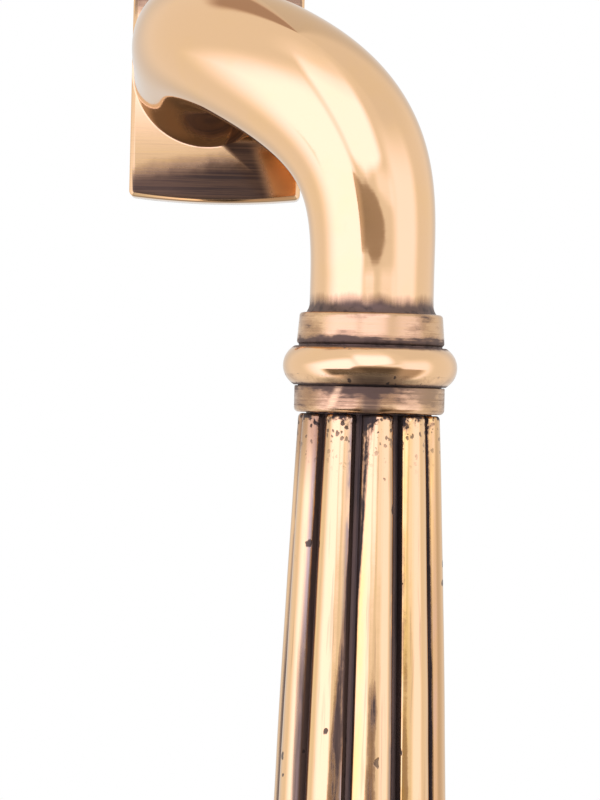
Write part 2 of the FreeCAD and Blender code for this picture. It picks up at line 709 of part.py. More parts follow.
def make_grip():
    top = -size(REEDS_TOP)
    length = size("Sizes.grip_length")
    sections = []
    for number in range(GRIP_SPANS + 1):
        share = number / GRIP_SPANS
        sections.append(reeded_section(grip_radius(share), top - share * length))
    reeds = doc.addObject("Part::Feature", "reeds")
    reeds.Shape = Part.makeLoft(sections, True, False)
    bind(reeds, Placement__Base__x="Sizes.grip_side", Placement__Base__y="-Sizes.grip_reach")
    spigot = rod("grip_spigot", "Sizes.grip_spigot_radius", "Sizes.grip_spigot_length",
                 ("Sizes.grip_side", "-Sizes.grip_reach", "-" + REEDS_TOP), ALONG_Z)
    solid = fuse("grip_blank", [reeds, spigot])
    bore = rod("grip_bore", STUD_HOLE,
               "Sizes.grip_length + Sizes.grip_spigot_length + 2 * Sizes.cut_over",
               ("Sizes.grip_side", "-Sizes.grip_reach", "-" + REEDS_END + " - Sizes.cut_over"),
               ALONG_Z)
    keep("grip", cut("grip", solid, [bore, dowel("grip_dowel_hole")]))


def make_foot():
    keep("end_collar", turned("end_collar", [
        (STUD_HOLE, "-" + REEDS_END),
        ("Sizes.end_collar_radius - Sizes.band_round", "-" + REEDS_END),
        ("Sizes.end_collar_radius", "-" + REEDS_END + " - Sizes.band_round"),
        ("Sizes.end_collar_radius", "-" + END_COLLAR_END),
        (STUD_HOLE, "-" + END_COLLAR_END)],
        {1: "-Sizes.band_round"}))
    inner = "(Sizes.end_collar_radius - Sizes.groove_depth)"
    bead_top = "(" + END_COLLAR_END + " + Sizes.crevice_length)"
    keep("end_bead", turned("end_bead", [
        (STUD_HOLE, "-" + END_COLLAR_END),
        (inner, "-" + END_COLLAR_END),
        (inner, "-" + bead_top),
        (END_BEAD_SHOULDER, "-" + bead_top),
        (END_BEAD_SHOULDER, "-" + END_BEAD_END),
        (WASHER_HOUSING, "-" + END_BEAD_END),
        (WASHER_HOUSING, "-" + END_BEAD_END + " + Sizes.lock_washer_thickness"),
        (STUD_HOLE, "-" + END_BEAD_END + " + Sizes.lock_washer_thickness")],
        {3: "-Sizes.end_bead_curve_radius"}))
    keep("lock_washer", turned("lock_washer", [
        (STUD_HOLE, "-" + END_BEAD_END + " + Sizes.lock_washer_thickness"),
        ("Sizes.lock_washer_radius", "-" + END_BEAD_END + " + Sizes.lock_washer_thickness"),
        ("Sizes.lock_washer_radius", "-" + END_BEAD_END),
        (STUD_HOLE, "-" + END_BEAD_END)]))
    side_end = "(" + END_BEAD_END + " + Sizes.cap_side_length)"
    dome_end = "(" + side_end + " + Sizes.cap_dome_length)"
    dome = "((Sizes.cap_radius ^ 2 + Sizes.cap_dome_length ^ 2) / (2 * Sizes.cap_dome_length))"
    keep("end_cap", turned("end_cap", [
        ("Sizes.stud_diameter / 2", "-" + END_BEAD_END),
        ("Sizes.cap_radius", "-" + END_BEAD_END),
        ("Sizes.cap_radius", "-" + side_end),
        ("0", "-" + dome_end),
        ("0", "-" + STUD_END),
        ("Sizes.stud_diameter / 2", "-" + STUD_END)],
        {2: "-" + dome}))


def make_stud():
    keep("tie_stud", rod("tie_stud", "Sizes.stud_diameter / 2", STUD_END + " - " + STUD_TOP,
                         ("Sizes.grip_side", "-Sizes.grip_reach", "-" + STUD_END), ALONG_Z))
    keep("anti_turn_pin", dowel("anti_turn_pin"))


make_back_plate()
make_pivot_bush()
make_wave_washer()
make_stop_washer()
make_retaining_clip()
make_spindle()
make_neck()
make_detents()
make_rings()
make_grip()
make_foot()
make_stud()
doc.recompute()

for item in doc.Objects:
    if "Invalid" in item.State or "Error" in item.State:
        raise RuntimeError(item.Label + " failed: " + str(item.State))
for name, feature in nodes.items():
    shape = feature.Shape
    if shape.isNull() or not shape.isValid() or not shape.Solids:
        raise RuntimeError(name + " has no valid solid")
for name, feature in nodes.items():
    feature.Shape.exportStep("parts/" + name + ".step")
    box = feature.Shape.BoundBox
    print(name, len(feature.Shape.Solids), "solids", round(feature.Shape.Volume, 1), "mm3",
          "X", round(box.XMin, 2), round(box.XMax, 2), "Y", round(box.YMin, 2), round(box.YMax, 2),
          "Z", round(box.ZMin, 2), round(box.ZMax, 2))
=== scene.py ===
import math

import bmesh
import bpy
from bpy.props import FloatProperty, FloatVectorProperty, IntProperty, PointerProperty
from bpy.types import Operator, Panel, PropertyGroup
from mathutils import Euler, Matrix, Vector


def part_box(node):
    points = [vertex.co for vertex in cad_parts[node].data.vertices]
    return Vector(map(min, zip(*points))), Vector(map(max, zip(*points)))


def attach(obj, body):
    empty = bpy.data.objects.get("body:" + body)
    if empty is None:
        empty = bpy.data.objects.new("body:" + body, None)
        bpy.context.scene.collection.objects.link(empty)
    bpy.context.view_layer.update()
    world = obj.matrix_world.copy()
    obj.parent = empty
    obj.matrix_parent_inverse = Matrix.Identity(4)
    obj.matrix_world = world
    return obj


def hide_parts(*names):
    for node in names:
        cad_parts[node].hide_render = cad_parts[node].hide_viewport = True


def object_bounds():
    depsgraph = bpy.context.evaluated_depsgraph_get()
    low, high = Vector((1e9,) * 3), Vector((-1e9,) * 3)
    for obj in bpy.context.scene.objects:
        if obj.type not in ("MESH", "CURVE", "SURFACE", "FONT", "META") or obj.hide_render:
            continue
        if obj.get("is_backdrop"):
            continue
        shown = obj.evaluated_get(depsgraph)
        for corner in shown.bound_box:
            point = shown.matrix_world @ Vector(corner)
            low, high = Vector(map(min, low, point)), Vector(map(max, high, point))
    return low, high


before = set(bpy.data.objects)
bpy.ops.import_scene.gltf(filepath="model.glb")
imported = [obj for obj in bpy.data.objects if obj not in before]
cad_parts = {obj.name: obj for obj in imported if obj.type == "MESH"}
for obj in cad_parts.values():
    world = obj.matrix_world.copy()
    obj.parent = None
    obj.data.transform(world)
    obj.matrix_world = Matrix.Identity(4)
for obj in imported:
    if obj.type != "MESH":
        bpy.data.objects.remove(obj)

bl_info = {
    "name": "Window Handle",
    "version": (1, 0, 0),
    "blender": (4, 5, 0),
    "location": "View3D > Sidebar > Handle",
    "description": "Builds the polished bronze look of an espagnolette window handle",
    "category": "Object",
}

MM = 0.001
PATINA_AND_PAINTED_DARK = "patina_and_painted_dark"
ACROSS = "across"
WHITE = (1.0, 1.0, 1.0)
SHARP = math.radians(32)


# The CAD parts give the levels of the turned pieces and the axis that they share.

def level(node, corner):
    """The height of a node's foot (0) or top (1)."""
    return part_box(node)[corner].z


def half_width(node):
    low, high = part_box(node)
    return (high.x - low.x) / 2


def standing(node):
    """A turned node's top, foot and radius."""
    return level(node, 1), level(node, 0), half_width(node)


def grip_axis():
    low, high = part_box("tie_stud")
    return Vector(((low.x + high.x) / 2, (low.y + high.y) / 2, 0))


STUD_BORE = half_width("tie_stud") + 0.2 * MM
TRACK_RADIUS = 7.8 * MM  # of the circle on which the detent balls run
BEAD_CURVE = 2.7 * MM  # radius of the section of both beads


# What a user may change

def length(label, about, value):
    return FloatProperty(name=label, description=about, default=value, unit="LENGTH",
                         subtype="DISTANCE", precision=5)


def angle(label, about, degrees):
    return FloatProperty(name=label, description=about, default=math.radians(degrees),
                         unit="ROTATION", subtype="ANGLE")


def share(label, about, value, most=1.0):
    return FloatProperty(name=label, description=about, default=value, min=0.0, max=most,
                         subtype="FACTOR")


def count(label, about, value, least, most):
    return IntProperty(name=label, description=about, default=value, min=least, max=most)


def colour(label, about, value):
    return FloatVectorProperty(name=label, description=about, default=value, size=3, min=0.0,
                               max=1.0, subtype="COLOR")


class PlateShape(PropertyGroup):
    dome_radius: length("Dome radius", "Radius of the shallow dome of the front", 320 * MM)
    arch: length("Arch", "Rise of the curved top and bottom edges", 0.65 * MM)
    corner_round: length("Corner round", "Radius of the four upright corners", 0.8 * MM)
    bevel: length("Bevel", "Width and depth of the bevel round the front", 0.6 * MM)
    edge_round: length("Edge round", "Softness of the worn edges", 0.09 * MM)
    seat_depth: length("Seat depth", "Depth of the seat under the neck's root", 0.15 * MM)
    seat_radius: length("Seat radius", "Radius of the seat under the neck's root", 9.95 * MM)
    track_half: length("Track half width", "Half the width of the balls' track", 0.85 * MM)
    track_depth: length("Track depth", "Depth of the balls' track", 0.4 * MM)
    pocket_depth: length("Pocket depth", "Depth of the pocket behind the bearing", 3.2 * MM)
    pocket_radius: length("Pocket radius", "Radius of the pocket behind the bearing", 8.4 * MM)
    fixing_spacing: length("Fixing spacing", "Distance between the fixing holes", 26 * MM)
    fixing_radius: length("Fixing radius", "Radius of the fixing holes", 2.1 * MM)
    fixing_depth: length("Fixing depth", "Depth of the fixing holes", 5 * MM)
    rings: count("Rings", "Rings of faces across the front", 26, 4, 80)


class NeckShape(PropertyGroup):
    spans: count("Spans", "Spans along the neck", 220, 20, 600)
    around: count("Around", "Faces round the neck", 160, 16, 400)
    drop: length("Drop", "Where the neck's straight foot begins, below the spindle", 27.6 * MM)
    journal_radius: length("Journal radius", "Radius of the journal in the plate", 6.2 * MM)
    flare: length("Flare", "How far the foot widens above the first ring", 0.4 * MM)
    flare_length: length("Flare length", "Height of the widening", 1.1 * MM)


class GripShape(PropertyGroup):
    reeds: count("Reeds", "Reeds round the grip", 10, 4, 40)
    turn: angle("Turn", "Angle from the front to the first reed", 7.5)
    top_radius: length("Top radius", "Radius over the reeds at the top", 8.65 * MM)
    middle_radius: length("Middle radius", "Radius over the reeds half way down", 9.95 * MM)
    foot_radius: length("Foot radius", "Radius over the reeds at the foot", 10.9 * MM)
    edge_drop: length("Edge drop", "How far a reed falls from its crown to its edges", 0.8 * MM)
    groove_depth: length("Groove depth", "Depth of the grooves below the crowns", 1.6 * MM)
    groove_width: length("Groove width", "Width of a groove between the reeds' edges", 1.25 * MM)
    groove_floor: length("Groove floor", "Width of a groove's floor", 0.6 * MM)
    spigot_radius: length("Spigot radius", "Radius of the spigot above the reeds", 7.6 * MM)
    turn_in: length("Turn in", "How far down the reeds' tops are rounded", 0.55 * MM)
    rows: count("Rows", "Rows of faces down a reed", 150, 10, 400)
    waviness: length("Waviness", "Unevenness left by hand finishing", 0.06 * MM)
    seed: count("Seed", "Seed of the unevenness", 7, 0, 99)


class BronzeFinish(PropertyGroup):
    bronze: colour("Bronze", "The polished metal", (0.81, 0.525, 0.302))
    gold: colour("Gold", "Freshly rubbed edges", (0.88, 0.54, 0.16))
    # Copper is the colour of a painted reflection of the neck on the plate and, darkened, of a
    # painted shadow beside its root.
    copper: colour("Copper", "Warm blush beside the neck", (0.80, 0.33, 0.11))
    lilac: colour("Lilac", "Cool tarnish along the edges of the grooves", (0.30, 0.225, 0.205))
    # Soot, patina and bloom colour the real tarnish and also the painted shade, shadows and dark
    # reflections on the plate, the beads, the front reeds and the band.
    soot_and_painted_dark: colour("Soot", "Black left deepest in the recesses", (0.035, 0.022, 0.020))
    patina_and_painted_dark: colour("Patina", "Dark tone left in the recesses", (0.130, 0.079, 0.062))
    bloom_and_painted_dark: colour("Bloom", "Brown tone where the polish is thin", (0.35, 0.195, 0.112))
    steel: colour("Steel", "Plated steel of the working parts", (0.56, 0.56, 0.55))
    bearing: colour("Bearing bronze", "Plain bearing bronze of the bush", (0.62, 0.42, 0.20))
    polish: share("Polish roughness", "Roughness of the polished bronze", 0.05)
    satin: share("Satin roughness", "Roughness of the turned bands", 0.13)
    dull: share("Patina roughness", "Roughness of the patina", 0.40)


class StudioLook(PropertyGroup):
    camera_x: length("Camera across", "Camera's place across the plate", 13.07 * MM)
    camera_y: length("Camera back", "Camera's place before the plate", -506.35 * MM)
    camera_z: length("Camera height", "Camera's place up and down", -42.59 * MM)
    lens: FloatProperty(name="Lens", description="Focal length over a 36 mm side", default=171.9,
                        min=10, max=400)
    roll: angle("Roll", "Turn of the camera about its view", -1.4)
    floor_drop: length("Floor drop", "Gap between the handle's foot and the floor", 1.2 * MM)
    floor_size: length("Floor size", "Side of the floor", 0.42)
    floor_colour: colour("Floor colour", "Pale studio floor", (0.86, 0.86, 0.86))
    softbox: share("Softbox", "Strength of the left softbox in the metal", 0.82, 4.0)
    dark_room: share("Dark room", "Depth of the dark below the softboxes", 0.88)
    cool: share("Cool light", "How much bluer the bright lights are than the room", 0.28)


# Shader helpers

class Value:
    """A number on a shader socket; arithmetic on it adds Math nodes."""

    def __init__(self, tree, socket):
        self.tree = tree
        self.socket = socket

    def math(self, operation, *others, clamp=False):
        inputs = dict(enumerate((self, *others)))
        return self.tree.value("ShaderNodeMath", inputs, operation=operation, use_clamp=clamp)

    def __add__(self, other):
        return self.math("ADD", other)

    def __sub__(self, other):
        return self.math("SUBTRACT", other)

    def __rsub__(self, other):
        return self.math("MULTIPLY_ADD", -1.0, other)

    def __mul__(self, other):
        return self.math("MULTIPLY", other)

    def __truediv__(self, other):
        return self.math("DIVIDE", other)

    __radd__ = __add__
    __rmul__ = __mul__

    def clamp(self):
        return self.math("ADD", 0.0, clamp=True)

    def most(self, other):
        return self.math("MAXIMUM", other)

    def ramp(self, low, high):
        """A smooth step from 0 at low to 1 at high."""
        inputs = {"Value": self, "From Min": low, "From Max": high}
        return self.tree.value("ShaderNodeMapRange", inputs, interpolation_type="SMOOTHSTEP")

    def near(self, far, close):
        """1 where the number is within close of zero, fading to 0 at far."""
        return self.math("ABSOLUTE").ramp(far, close)


class Tree:
    """Adds nodes to one node tree."""

    def __init__(self, nodes):
        self.nodes = nodes

    def node(self, kind, inputs=None, **settings):
        """A node of a kind, with its settings first and then its sockets' values or links."""
        made = self.nodes.nodes.new(kind)
        for name, value in settings.items():
            setattr(made, name, value)
        for name, value in (inputs or {}).items():
            self.put(made.inputs[name], value)
        return made

    def put(self, socket, value):
        if isinstance(value, Value):
            value = value.socket
        if isinstance(value, bpy.types.NodeSocket):
            self.nodes.links.new(value, socket)
        elif socket.type == "RGBA" and len(value) == 3:
            socket.default_value = (*value, 1.0)
        else:
            socket.default_value = value

    def out(self, kind, inputs=None, **settings):
        """The first output of a new node."""
        return self.node(kind, inputs, **settings).outputs[0]

    def value(self, kind, inputs=None, output=0, **settings):
        return Value(self, self.node(kind, inputs, **settings).outputs[output])

    def mix(self, factor, first, second):
        """A colour between two colours."""
        made = self.node("ShaderNodeMix", data_type="RGBA")
        colours = [item for item in made.inputs if item.type == "RGBA"]
        self.put(made.inputs["Factor"], factor)
        self.put(colours[0], first)
        self.put(colours[1], second)
        return [item for item in made.outputs if item.type == "RGBA"][0]

    def vector(self, operation, *inputs):
        """What Vector Math makes of its inputs."""
        return self.out("ShaderNodeVectorMath", dict(enumerate(inputs)), operation=operation)

    def place(self, scale, centre=(0, 0, 0)):
        """The Object coordinates from a centre, in real units times a scale."""
        found = self.node("ShaderNodeTexCoord").outputs["Object"]
        return self.vector("MULTIPLY", self.vector("SUBTRACT", found, tuple(centre)), tuple(scale))

    def noise(self, scale, detail, rough, centre=(0, 0, 0)):
        """A noise from 0 to 1 with a scale of its own in each direction, in waves per metre."""
        return self.value("ShaderNodeTexNoise",
                          {"Vector": self.place(scale, centre), "Scale": 1.0, "Detail": detail,
                           "Roughness": rough})

    def parts(self, vector):
        """The three numbers of a vector."""
        found = self.node("ShaderNodeSeparateXYZ", {0: vector})
        return [Value(self, item) for item in found.outputs]

    def axes(self, centre):
        """The three Object coordinates, in millimetres from a centre."""
        return self.parts(self.place((1000,) * 3, centre))

    def mark(self, name):
        """A number that the mesh carries at each point."""
        return self.value("ShaderNodeAttribute", output=2, attribute_name=name)


def material(name):
    made = bpy.data.materials.new(name)
    made.use_nodes = True
    made.node_tree.nodes.clear()
    return made, Tree(made.node_tree)


def finish_surface(tree, base, rough, metal, heights):
    """A Principled surface over a chain of bumps, each a height and its depth in metres."""
    normal = None
    for height, depth in heights:
        inputs = {"Height": height, "Distance": depth, "Strength": 1.0}
        if normal:
            inputs["Normal"] = normal
        normal = tree.node("ShaderNodeBump", inputs).outputs["Normal"]
    shader = tree.node("ShaderNodeBsdfPrincipled", {
        "Base Color": base, "Roughness": rough, "Metallic": metal, "Normal": normal})
    tree.node("ShaderNodeOutputMaterial", {"Surface": shader.outputs[0]})


def pits(tree, scale, size, often):
    """Ragged casting pits: 1 inside a pit and 0 outside, in some of the cells only."""
    grain = tree.node("ShaderNodeTexNoise", {"Vector": tree.place((scale,) * 3), "Scale": 1.3,
                                             "Detail": 2.0}).outputs["Color"]
    spot = tree.vector("MULTIPLY_ADD", grain, (0.7, 0.7, 0.7),
                       tree.place((scale, scale, scale * 0.75)))
    cells = tree.node("ShaderNodeTexVoronoi", {"Vector": spot, "Scale": 1.0})
    chance = tree.node("ShaderNodeSeparateColor", {0: cells.outputs["Color"]})
    reach = Value(tree, chance.outputs[1]) * (size * 0.8) + size * 0.35
    inside = (reach - Value(tree, cells.outputs["Distance"])).ramp(0.0, size * 0.3)
    return inside * Value(tree, chance.outputs[0]).ramp(1.0 - often, 1.0 - often + 0.02)


# Bronze finishes

class Skin:
    """What every bronze finish starts from; a finish changes it and adds masks of its own.

    dark is where patina covers the metal and where painted shade and dark reflections lie,
    bloom where the polish is thin and under the painted dark, thin where the metal is rubbed
    to gold, and soot where the patina is black and where the painted dark is deepest.
    """

    def __init__(self, tree, look):
        self.tree = tree
        self.look = look
        self.axis = grip_axis()
        self.recess = tree.mark(PATINA_AND_PAINTED_DARK)
        self.cloud = tree.noise((140, 140, 140), 3, 0.6)
        self.fine = tree.noise((900, 900, 900), 4, 0.6)
        self.metal = look.bronze
        self.shade = look.patina_and_painted_dark
        self.soot_and_painted_dark = self.fine.ramp(0.45, 0.65) * self.recess.ramp(0.6, 1.0) * 0.7


def neck_finish(skin):
    """Smooth polish with faint turning lines, dark above the first ring."""
    lines = skin.tree.noise((30, 30, 3600), 4, 0.65, skin.axis)
    ragged = skin.tree.noise((800, 800, 120), 4, 0.65)
    edge = skin.recess + (ragged - 0.5) * 0.7
    skin.dark = edge.ramp(0.40, 0.85)
    skin.bloom_and_painted_dark = edge.ramp(0.12, 0.5) * 0.6
    skin.thin = skin.cloud.ramp(0.45, 0.75) * 0.12
    skin.rough = skin.look.polish + skin.fine.ramp(0.35, 0.8) * 0.03 + lines.ramp(0.5, 0.8) * 0.04
    skin.heights = [(skin.cloud, 10e-6), (lines, 0.8e-6)]


def plate_finish(skin):
    """Brushed across, with a painted copper reflection of the neck beside it and a painted dark
    reflection and shadow of the neck below it.
    """
    tree, copper = skin.tree, skin.look.copper
    lines = tree.noise((60, 60, 4200), 5, 0.7)
    ragged = tree.noise((500, 500, 500), 4, 0.65) - 0.5
    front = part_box("back_plate")[0].y
    x, y, z = tree.axes((2 * MM, front, -11.5 * MM))  # from a spot on the front, under the root
    face = y.ramp(0.55, 0.43)
    # Painted reflection: the neck mirrored in copper on the plate beside it.
    painted_neck_reflection = (x + z * 0.35 - 5.3).ramp(-1.4, 0.8) * z.ramp(3.0, 1.0) * face
    hump = x.ramp(-4.0, 2.0) * 0.6
    # Painted dark reflection and shadow of the neck on the plate, below and beside its root; the
    # last step also darkens the top of the front.
    painted_dark_reflection = (z + x * x * 0.012 + ragged * 1.4 - hump).ramp(1.1, -2.3)
    painted_dark_reflection = painted_dark_reflection.most((x + z - 2.3).ramp(-0.6, 0.6) * z.ramp(3.0, 2.0)) * (1.0 - painted_neck_reflection)
    painted_dark_reflection = painted_dark_reflection.most((z + ragged * 3.0).ramp(17.5, 21.0) * 0.6) * face
    # Painted shadow beside the root, in a warm dark brown.
    painted_warm_shadow = (x + z * 0.8 - 1.4).ramp(-1.0, 1.0) * z.ramp(3.6, 2.4) * face
    skin.soot_and_painted_dark = painted_dark_reflection * (0.35 + x.ramp(-9.0, 0.0) * 0.4)
    skin.metal = tree.mix(painted_neck_reflection * 0.9, skin.metal, copper)
    skin.shade = tree.mix(painted_warm_shadow, skin.shade, tuple(part * 0.13 for part in copper))
    skin.dark = (skin.recess + ragged * 0.7).ramp(0.5, 0.8) \
        .most(painted_dark_reflection * (0.72 + lines.ramp(0.35, 0.62) * 0.28))
    skin.bloom_and_painted_dark = ((skin.recess + ragged * 0.8).ramp(0.15, 0.6) * 0.8) \
        .most(lines.ramp(0.5, 0.75) * 0.14).most(painted_dark_reflection * 0.95)
    skin.thin = lines.ramp(0.5, 0.3) * 0.25
    skin.rough = skin.look.polish + lines.ramp(0.4, 0.8) * 0.04 + painted_neck_reflection * 0.12
    skin.heights = [(skin.cloud, 3e-6), (lines, 0.6e-6)]


def reed_finish(skin):
    """Hand-rubbed reeds: black grooves, gold and lilac edges, streaks, painted dark reflections
    down the front reeds and casting pits.
    """
    tree, look, fine = skin.tree, skin.look, skin.fine
    x, y, z = tree.axes(skin.axis + Vector((0, 0, level("grip", 1))))
    across = tree.mark(ACROSS)
    slow = tree.noise((260, 260, 75), 2, 0.5)
    lines = tree.noise((40, 40, 3000), 4, 0.65, skin.axis)
    ragged = tree.noise((950, 950, 150), 5, 0.62)
    flaky = tree.noise((1500, 1500, 1100), 4, 0.7)
    streaks = tree.noise((1500, 1500, 24), 3, 0.6)
    front = y.ramp(0.0, -2.0)
    top = z.ramp(-10.0, -0.6)
    brink = z.ramp(-2.6, -0.2)
    # Painted dark reflections: two dark streaks down the front reeds, the second (rubbed) lower
    # down.
    painted_dark_streak = (x - (z + 11.0) * 0.075 + 0.95).near(1.15, 0.4) * front
    rubbed = (x - 1.1).near(0.95, 0.3) * z.ramp(-26.0, -36.0) * front
    edge = skin.recess + (slow - 0.5) * 0.30 + (ragged - 0.5) * 0.5 \
        + (flaky - 0.5) * (0.2 + 0.5 * top) + brink * ((fine - 0.5) * 3.0 + 0.3) \
        + painted_dark_streak * (streaks * 0.9 - 0.05) + rubbed * (streaks * 0.9 + 0.05)
    holes = pits(tree, 800, 0.36, 0.05).most(pits(tree, 1900, 0.5, 0.5) * top * top)
    bank = x.ramp(-4.0, -5.0) * across.ramp(0.55, 0.85) * z.ramp(-16.0, -34.0)
    skin.dark = edge.ramp(0.44, 0.60).most(holes * 0.9).most(bank * (0.4 + streaks * 0.8))
    shoulder = x.ramp(-4.4, -5.8) * z.ramp(-11.0, -1.0) * (0.2 + streaks * 1.2)
    skin.bloom_and_painted_dark = (edge.ramp(0.24, 0.44) * 0.75).most(streaks.ramp(0.56, 0.7) * 0.35) \
        .most(shoulder).most(x.ramp(7.4, 8.4) * across.ramp(0.0, -0.7) * 0.6)
    left = across.ramp(-0.3, -0.95) * ragged.ramp(0.25, 0.6)
    right = across.ramp(0.66, 0.92) * ragged.ramp(0.25, 0.5)
    skin.metal = tree.mix(0.12 + left * 0.65, skin.metal, look.gold)
    skin.metal = tree.mix(right * 0.9, skin.metal, look.lilac)
    skin.soot_and_painted_dark = (across.ramp(0.3, -0.7) * 0.7 + streaks.ramp(0.45, 0.6) * 0.5) \
        .most(holes * 0.8 + brink * fine.ramp(0.4, 0.6)).clamp()
    skin.thin = ragged.ramp(0.55, 0.8) * 0.15
    skin.rough = look.polish + flaky.ramp(0.4, 0.9) * 0.05 + top * 0.05 \
        + lines.ramp(0.5, 0.8) * 0.03
    skin.heights = [(skin.cloud, 12e-6), (lines, 0.5e-6), (streaks, 1.5e-6), (flaky, 1.5e-6),
                    (1 - holes, 20e-6)]


def bead_finish(skin):
    """Polished beads and cap with pitted crevices; the upper bead has a painted dark reflection
    under its front.
    """
    tree = skin.tree
    lines = tree.noise((30, 30, 5200), 4, 0.6, skin.axis)
    ragged = tree.noise((700, 700, 900), 4, 0.65) - 0.5
    x, y, z = tree.axes(skin.axis + Vector((0, 0, level("bead_ring", 0))))
    holes = pits(tree, 1300, 0.45, 0.25) * skin.recess.ramp(0.02, 0.25)
    # Painted dark reflection under the upper bead's front, laid on as soot and patina.
    under = z.ramp(2.0, 0.8) * z.ramp(-1.2, -0.2) * x.near(6.0, 1.0)
    skin.soot_and_painted_dark = skin.soot_and_painted_dark.most(under.ramp(0.1, 0.7))
    skin.dark = (skin.recess + ragged * 0.6).ramp(0.45, 0.66) \
        .most(under * (0.7 + lines * 0.3)).most(holes)
    skin.bloom_and_painted_dark = (skin.recess + ragged * 0.8).ramp(0.12, 0.5) * 0.7
    skin.thin = skin.cloud.ramp(0.4, 0.8) * 0.15
    skin.rough = skin.look.polish + 0.06 + skin.fine.ramp(0.35, 0.8) * 0.04
    skin.heights = [(skin.cloud, 8e-6), (lines, 0.5e-6), (1 - holes, 12e-6)]


def turned_finish(skin, heavy):
    """Satin turned bands with worn patches, which cover a heavy one; the heavy one also has a
    painted dark reflection down its front.
    """
    tree = skin.tree
    lines = tree.noise((55, 55, 5600), 5, 0.75, skin.axis)
    patches = tree.noise((190, 190, 520), 4, 0.62)
    ragged = tree.noise((420, 420, 1500), 4, 0.65)
    half_way_up = (level("grip_collar", 0) + level("grip_collar", 1)) / 2
    x, y, z = tree.axes(skin.axis + Vector((0, 0, half_way_up)))
    worn = (patches - 0.5) * 1.6 + (lines - 0.5) * 0.9 + skin.recess * 0.8
    skin.dark = (worn + (ragged - 0.5) * 0.5).ramp(0.26, 0.60)
    skin.bloom_and_painted_dark = worn.ramp(-0.15, 0.30)
    if heavy:
        glint = (x + 4.4 - z * 0.4).near(0.8, 0.1) * lines.ramp(0.3, 0.6)
        rub = z.ramp(-0.7, -1.4) * x.ramp(0.0, -4.0) * ragged.ramp(0.3, 0.6)
        bare = 1.0 - glint.most(rub).most(x.ramp(2.5, 6.0) * 0.55) * 0.85
        # Painted dark reflection down the front of the band.
        middle = x.near(1.5, 0.5) * y.ramp(0.0, -2.0) * lines.ramp(0.2, 0.5)
        skin.dark = (skin.dark * bare).most(middle * 0.8)
        skin.bloom_and_painted_dark = skin.bloom_and_painted_dark * 0.85 * bare
    else:
        skin.bloom_and_painted_dark = (skin.bloom_and_painted_dark * 0.7).most(x.ramp(-8.0, -3.0) * 0.36)
    skin.thin = lines.ramp(0.45, 0.75) * 0.35
    skin.rough = skin.look.satin + lines.ramp(0.4, 0.8) * 0.08
    skin.heights = [(skin.cloud, 8e-6), (lines, 1.2e-6)]


def collar_finish(skin):
    turned_finish(skin, False)


def band_finish(skin):
    turned_finish(skin, True)


def bronze_surface(name, finish):
    """The aged bronze of one group of pieces, with the masks of its own finish."""
    look = bpy.context.scene.bronze_finish
    made, tree = material(name)
    skin = Skin(tree, look)
    finish(skin)
    base = tree.mix(skin.thin, skin.metal, look.gold)
    base = tree.mix(skin.bloom_and_painted_dark, base, look.bloom_and_painted_dark)
    base = tree.mix(skin.dark, base, tree.mix(skin.soot_and_painted_dark, skin.shade, look.soot_and_painted_dark))
    duller = look.dull - look.polish
    rough = (skin.rough + skin.bloom_and_painted_dark * (duller * 0.3) + skin.dark * duller).clamp()
    finish_surface(tree, base, rough, 1.0 - skin.dark * 0.45, skin.heights)
    return made


def plain_metal(name, tone, lines_scale):
    """A machined working part: fine tool lines, faint clouding and a soft sheen."""
    made, tree = material(name)
    lines = tree.noise(lines_scale, 4, 0.7)
    cloud = tree.noise((260, 260, 260), 3, 0.6)
    darker = tuple(part * 0.55 for part in tone)
    base = tree.mix(lines.ramp(0.35, 0.8) * 0.35 + cloud.ramp(0.4, 0.8) * 0.25, tone, darker)
    rough = 0.26 + lines * 0.14 + cloud * 0.08
    finish_surface(tree, base, rough, 1.0, [(lines, 2.2e-6), (cloud, 6e-6)])
    return made


# Mesh helpers

def add_object(name, mesh):
    made = bpy.data.objects.new(name, mesh)
    bpy.context.scene.collection.objects.link(made)
    return made


def smooth(mesh, sharp=SHARP):
    """Shade smooth between the sharp edges."""
    mesh.shade_smooth()
    mesh.set_sharp_from_angle(angle=sharp)


def tidy(made, sharp=SHARP):
    """Merge doubles, point the faces outwards and shade smooth between the sharp edges."""
    work = bmesh.new()
    work.from_mesh(made.data)
    bmesh.ops.remove_doubles(work, verts=work.verts, dist=1e-7)
    bmesh.ops.recalc_face_normals(work, faces=work.faces)
    work.to_mesh(made.data)
    work.free()
    smooth(made.data, sharp)


def piece(name, points, faces, patina_and_painted_dark=None, finish=None):
    """A mesh object from points and faces, smooth but for its sharp edges."""
    mesh = bpy.data.meshes.new(name)
    mesh.from_pydata([tuple(point) for point in points], [], faces)
    if patina_and_painted_dark is not None:
        mesh.attributes.new(PATINA_AND_PAINTED_DARK, "FLOAT", "POINT").data.foreach_set("value", patina_and_painted_dark)
    mesh.validate()
    made = add_object(name, mesh)
    tidy(made)
    if finish:
        mesh.materials.append(finish)
    return made


def loops(rings, closed):
    """Faces between rings of equally many points; closed joins the last ring to the first."""
    size = len(rings[0])
    points = [point for ring in rings for point in ring]
    faces = []
    for number in range(len(rings) if closed else len(rings) - 1):
        one = number * size
        two = (number + 1) % len(rings) * size
        for index in range(size):
            after = (index + 1) % size
            faces.append((one + index, one + after, two + after, two + index))
    if not closed:
        last = (len(rings) - 1) * size
        faces.append(tuple(range(size - 1, -1, -1)))
        faces.append(tuple(range(last, last + size)))
    return points, faces


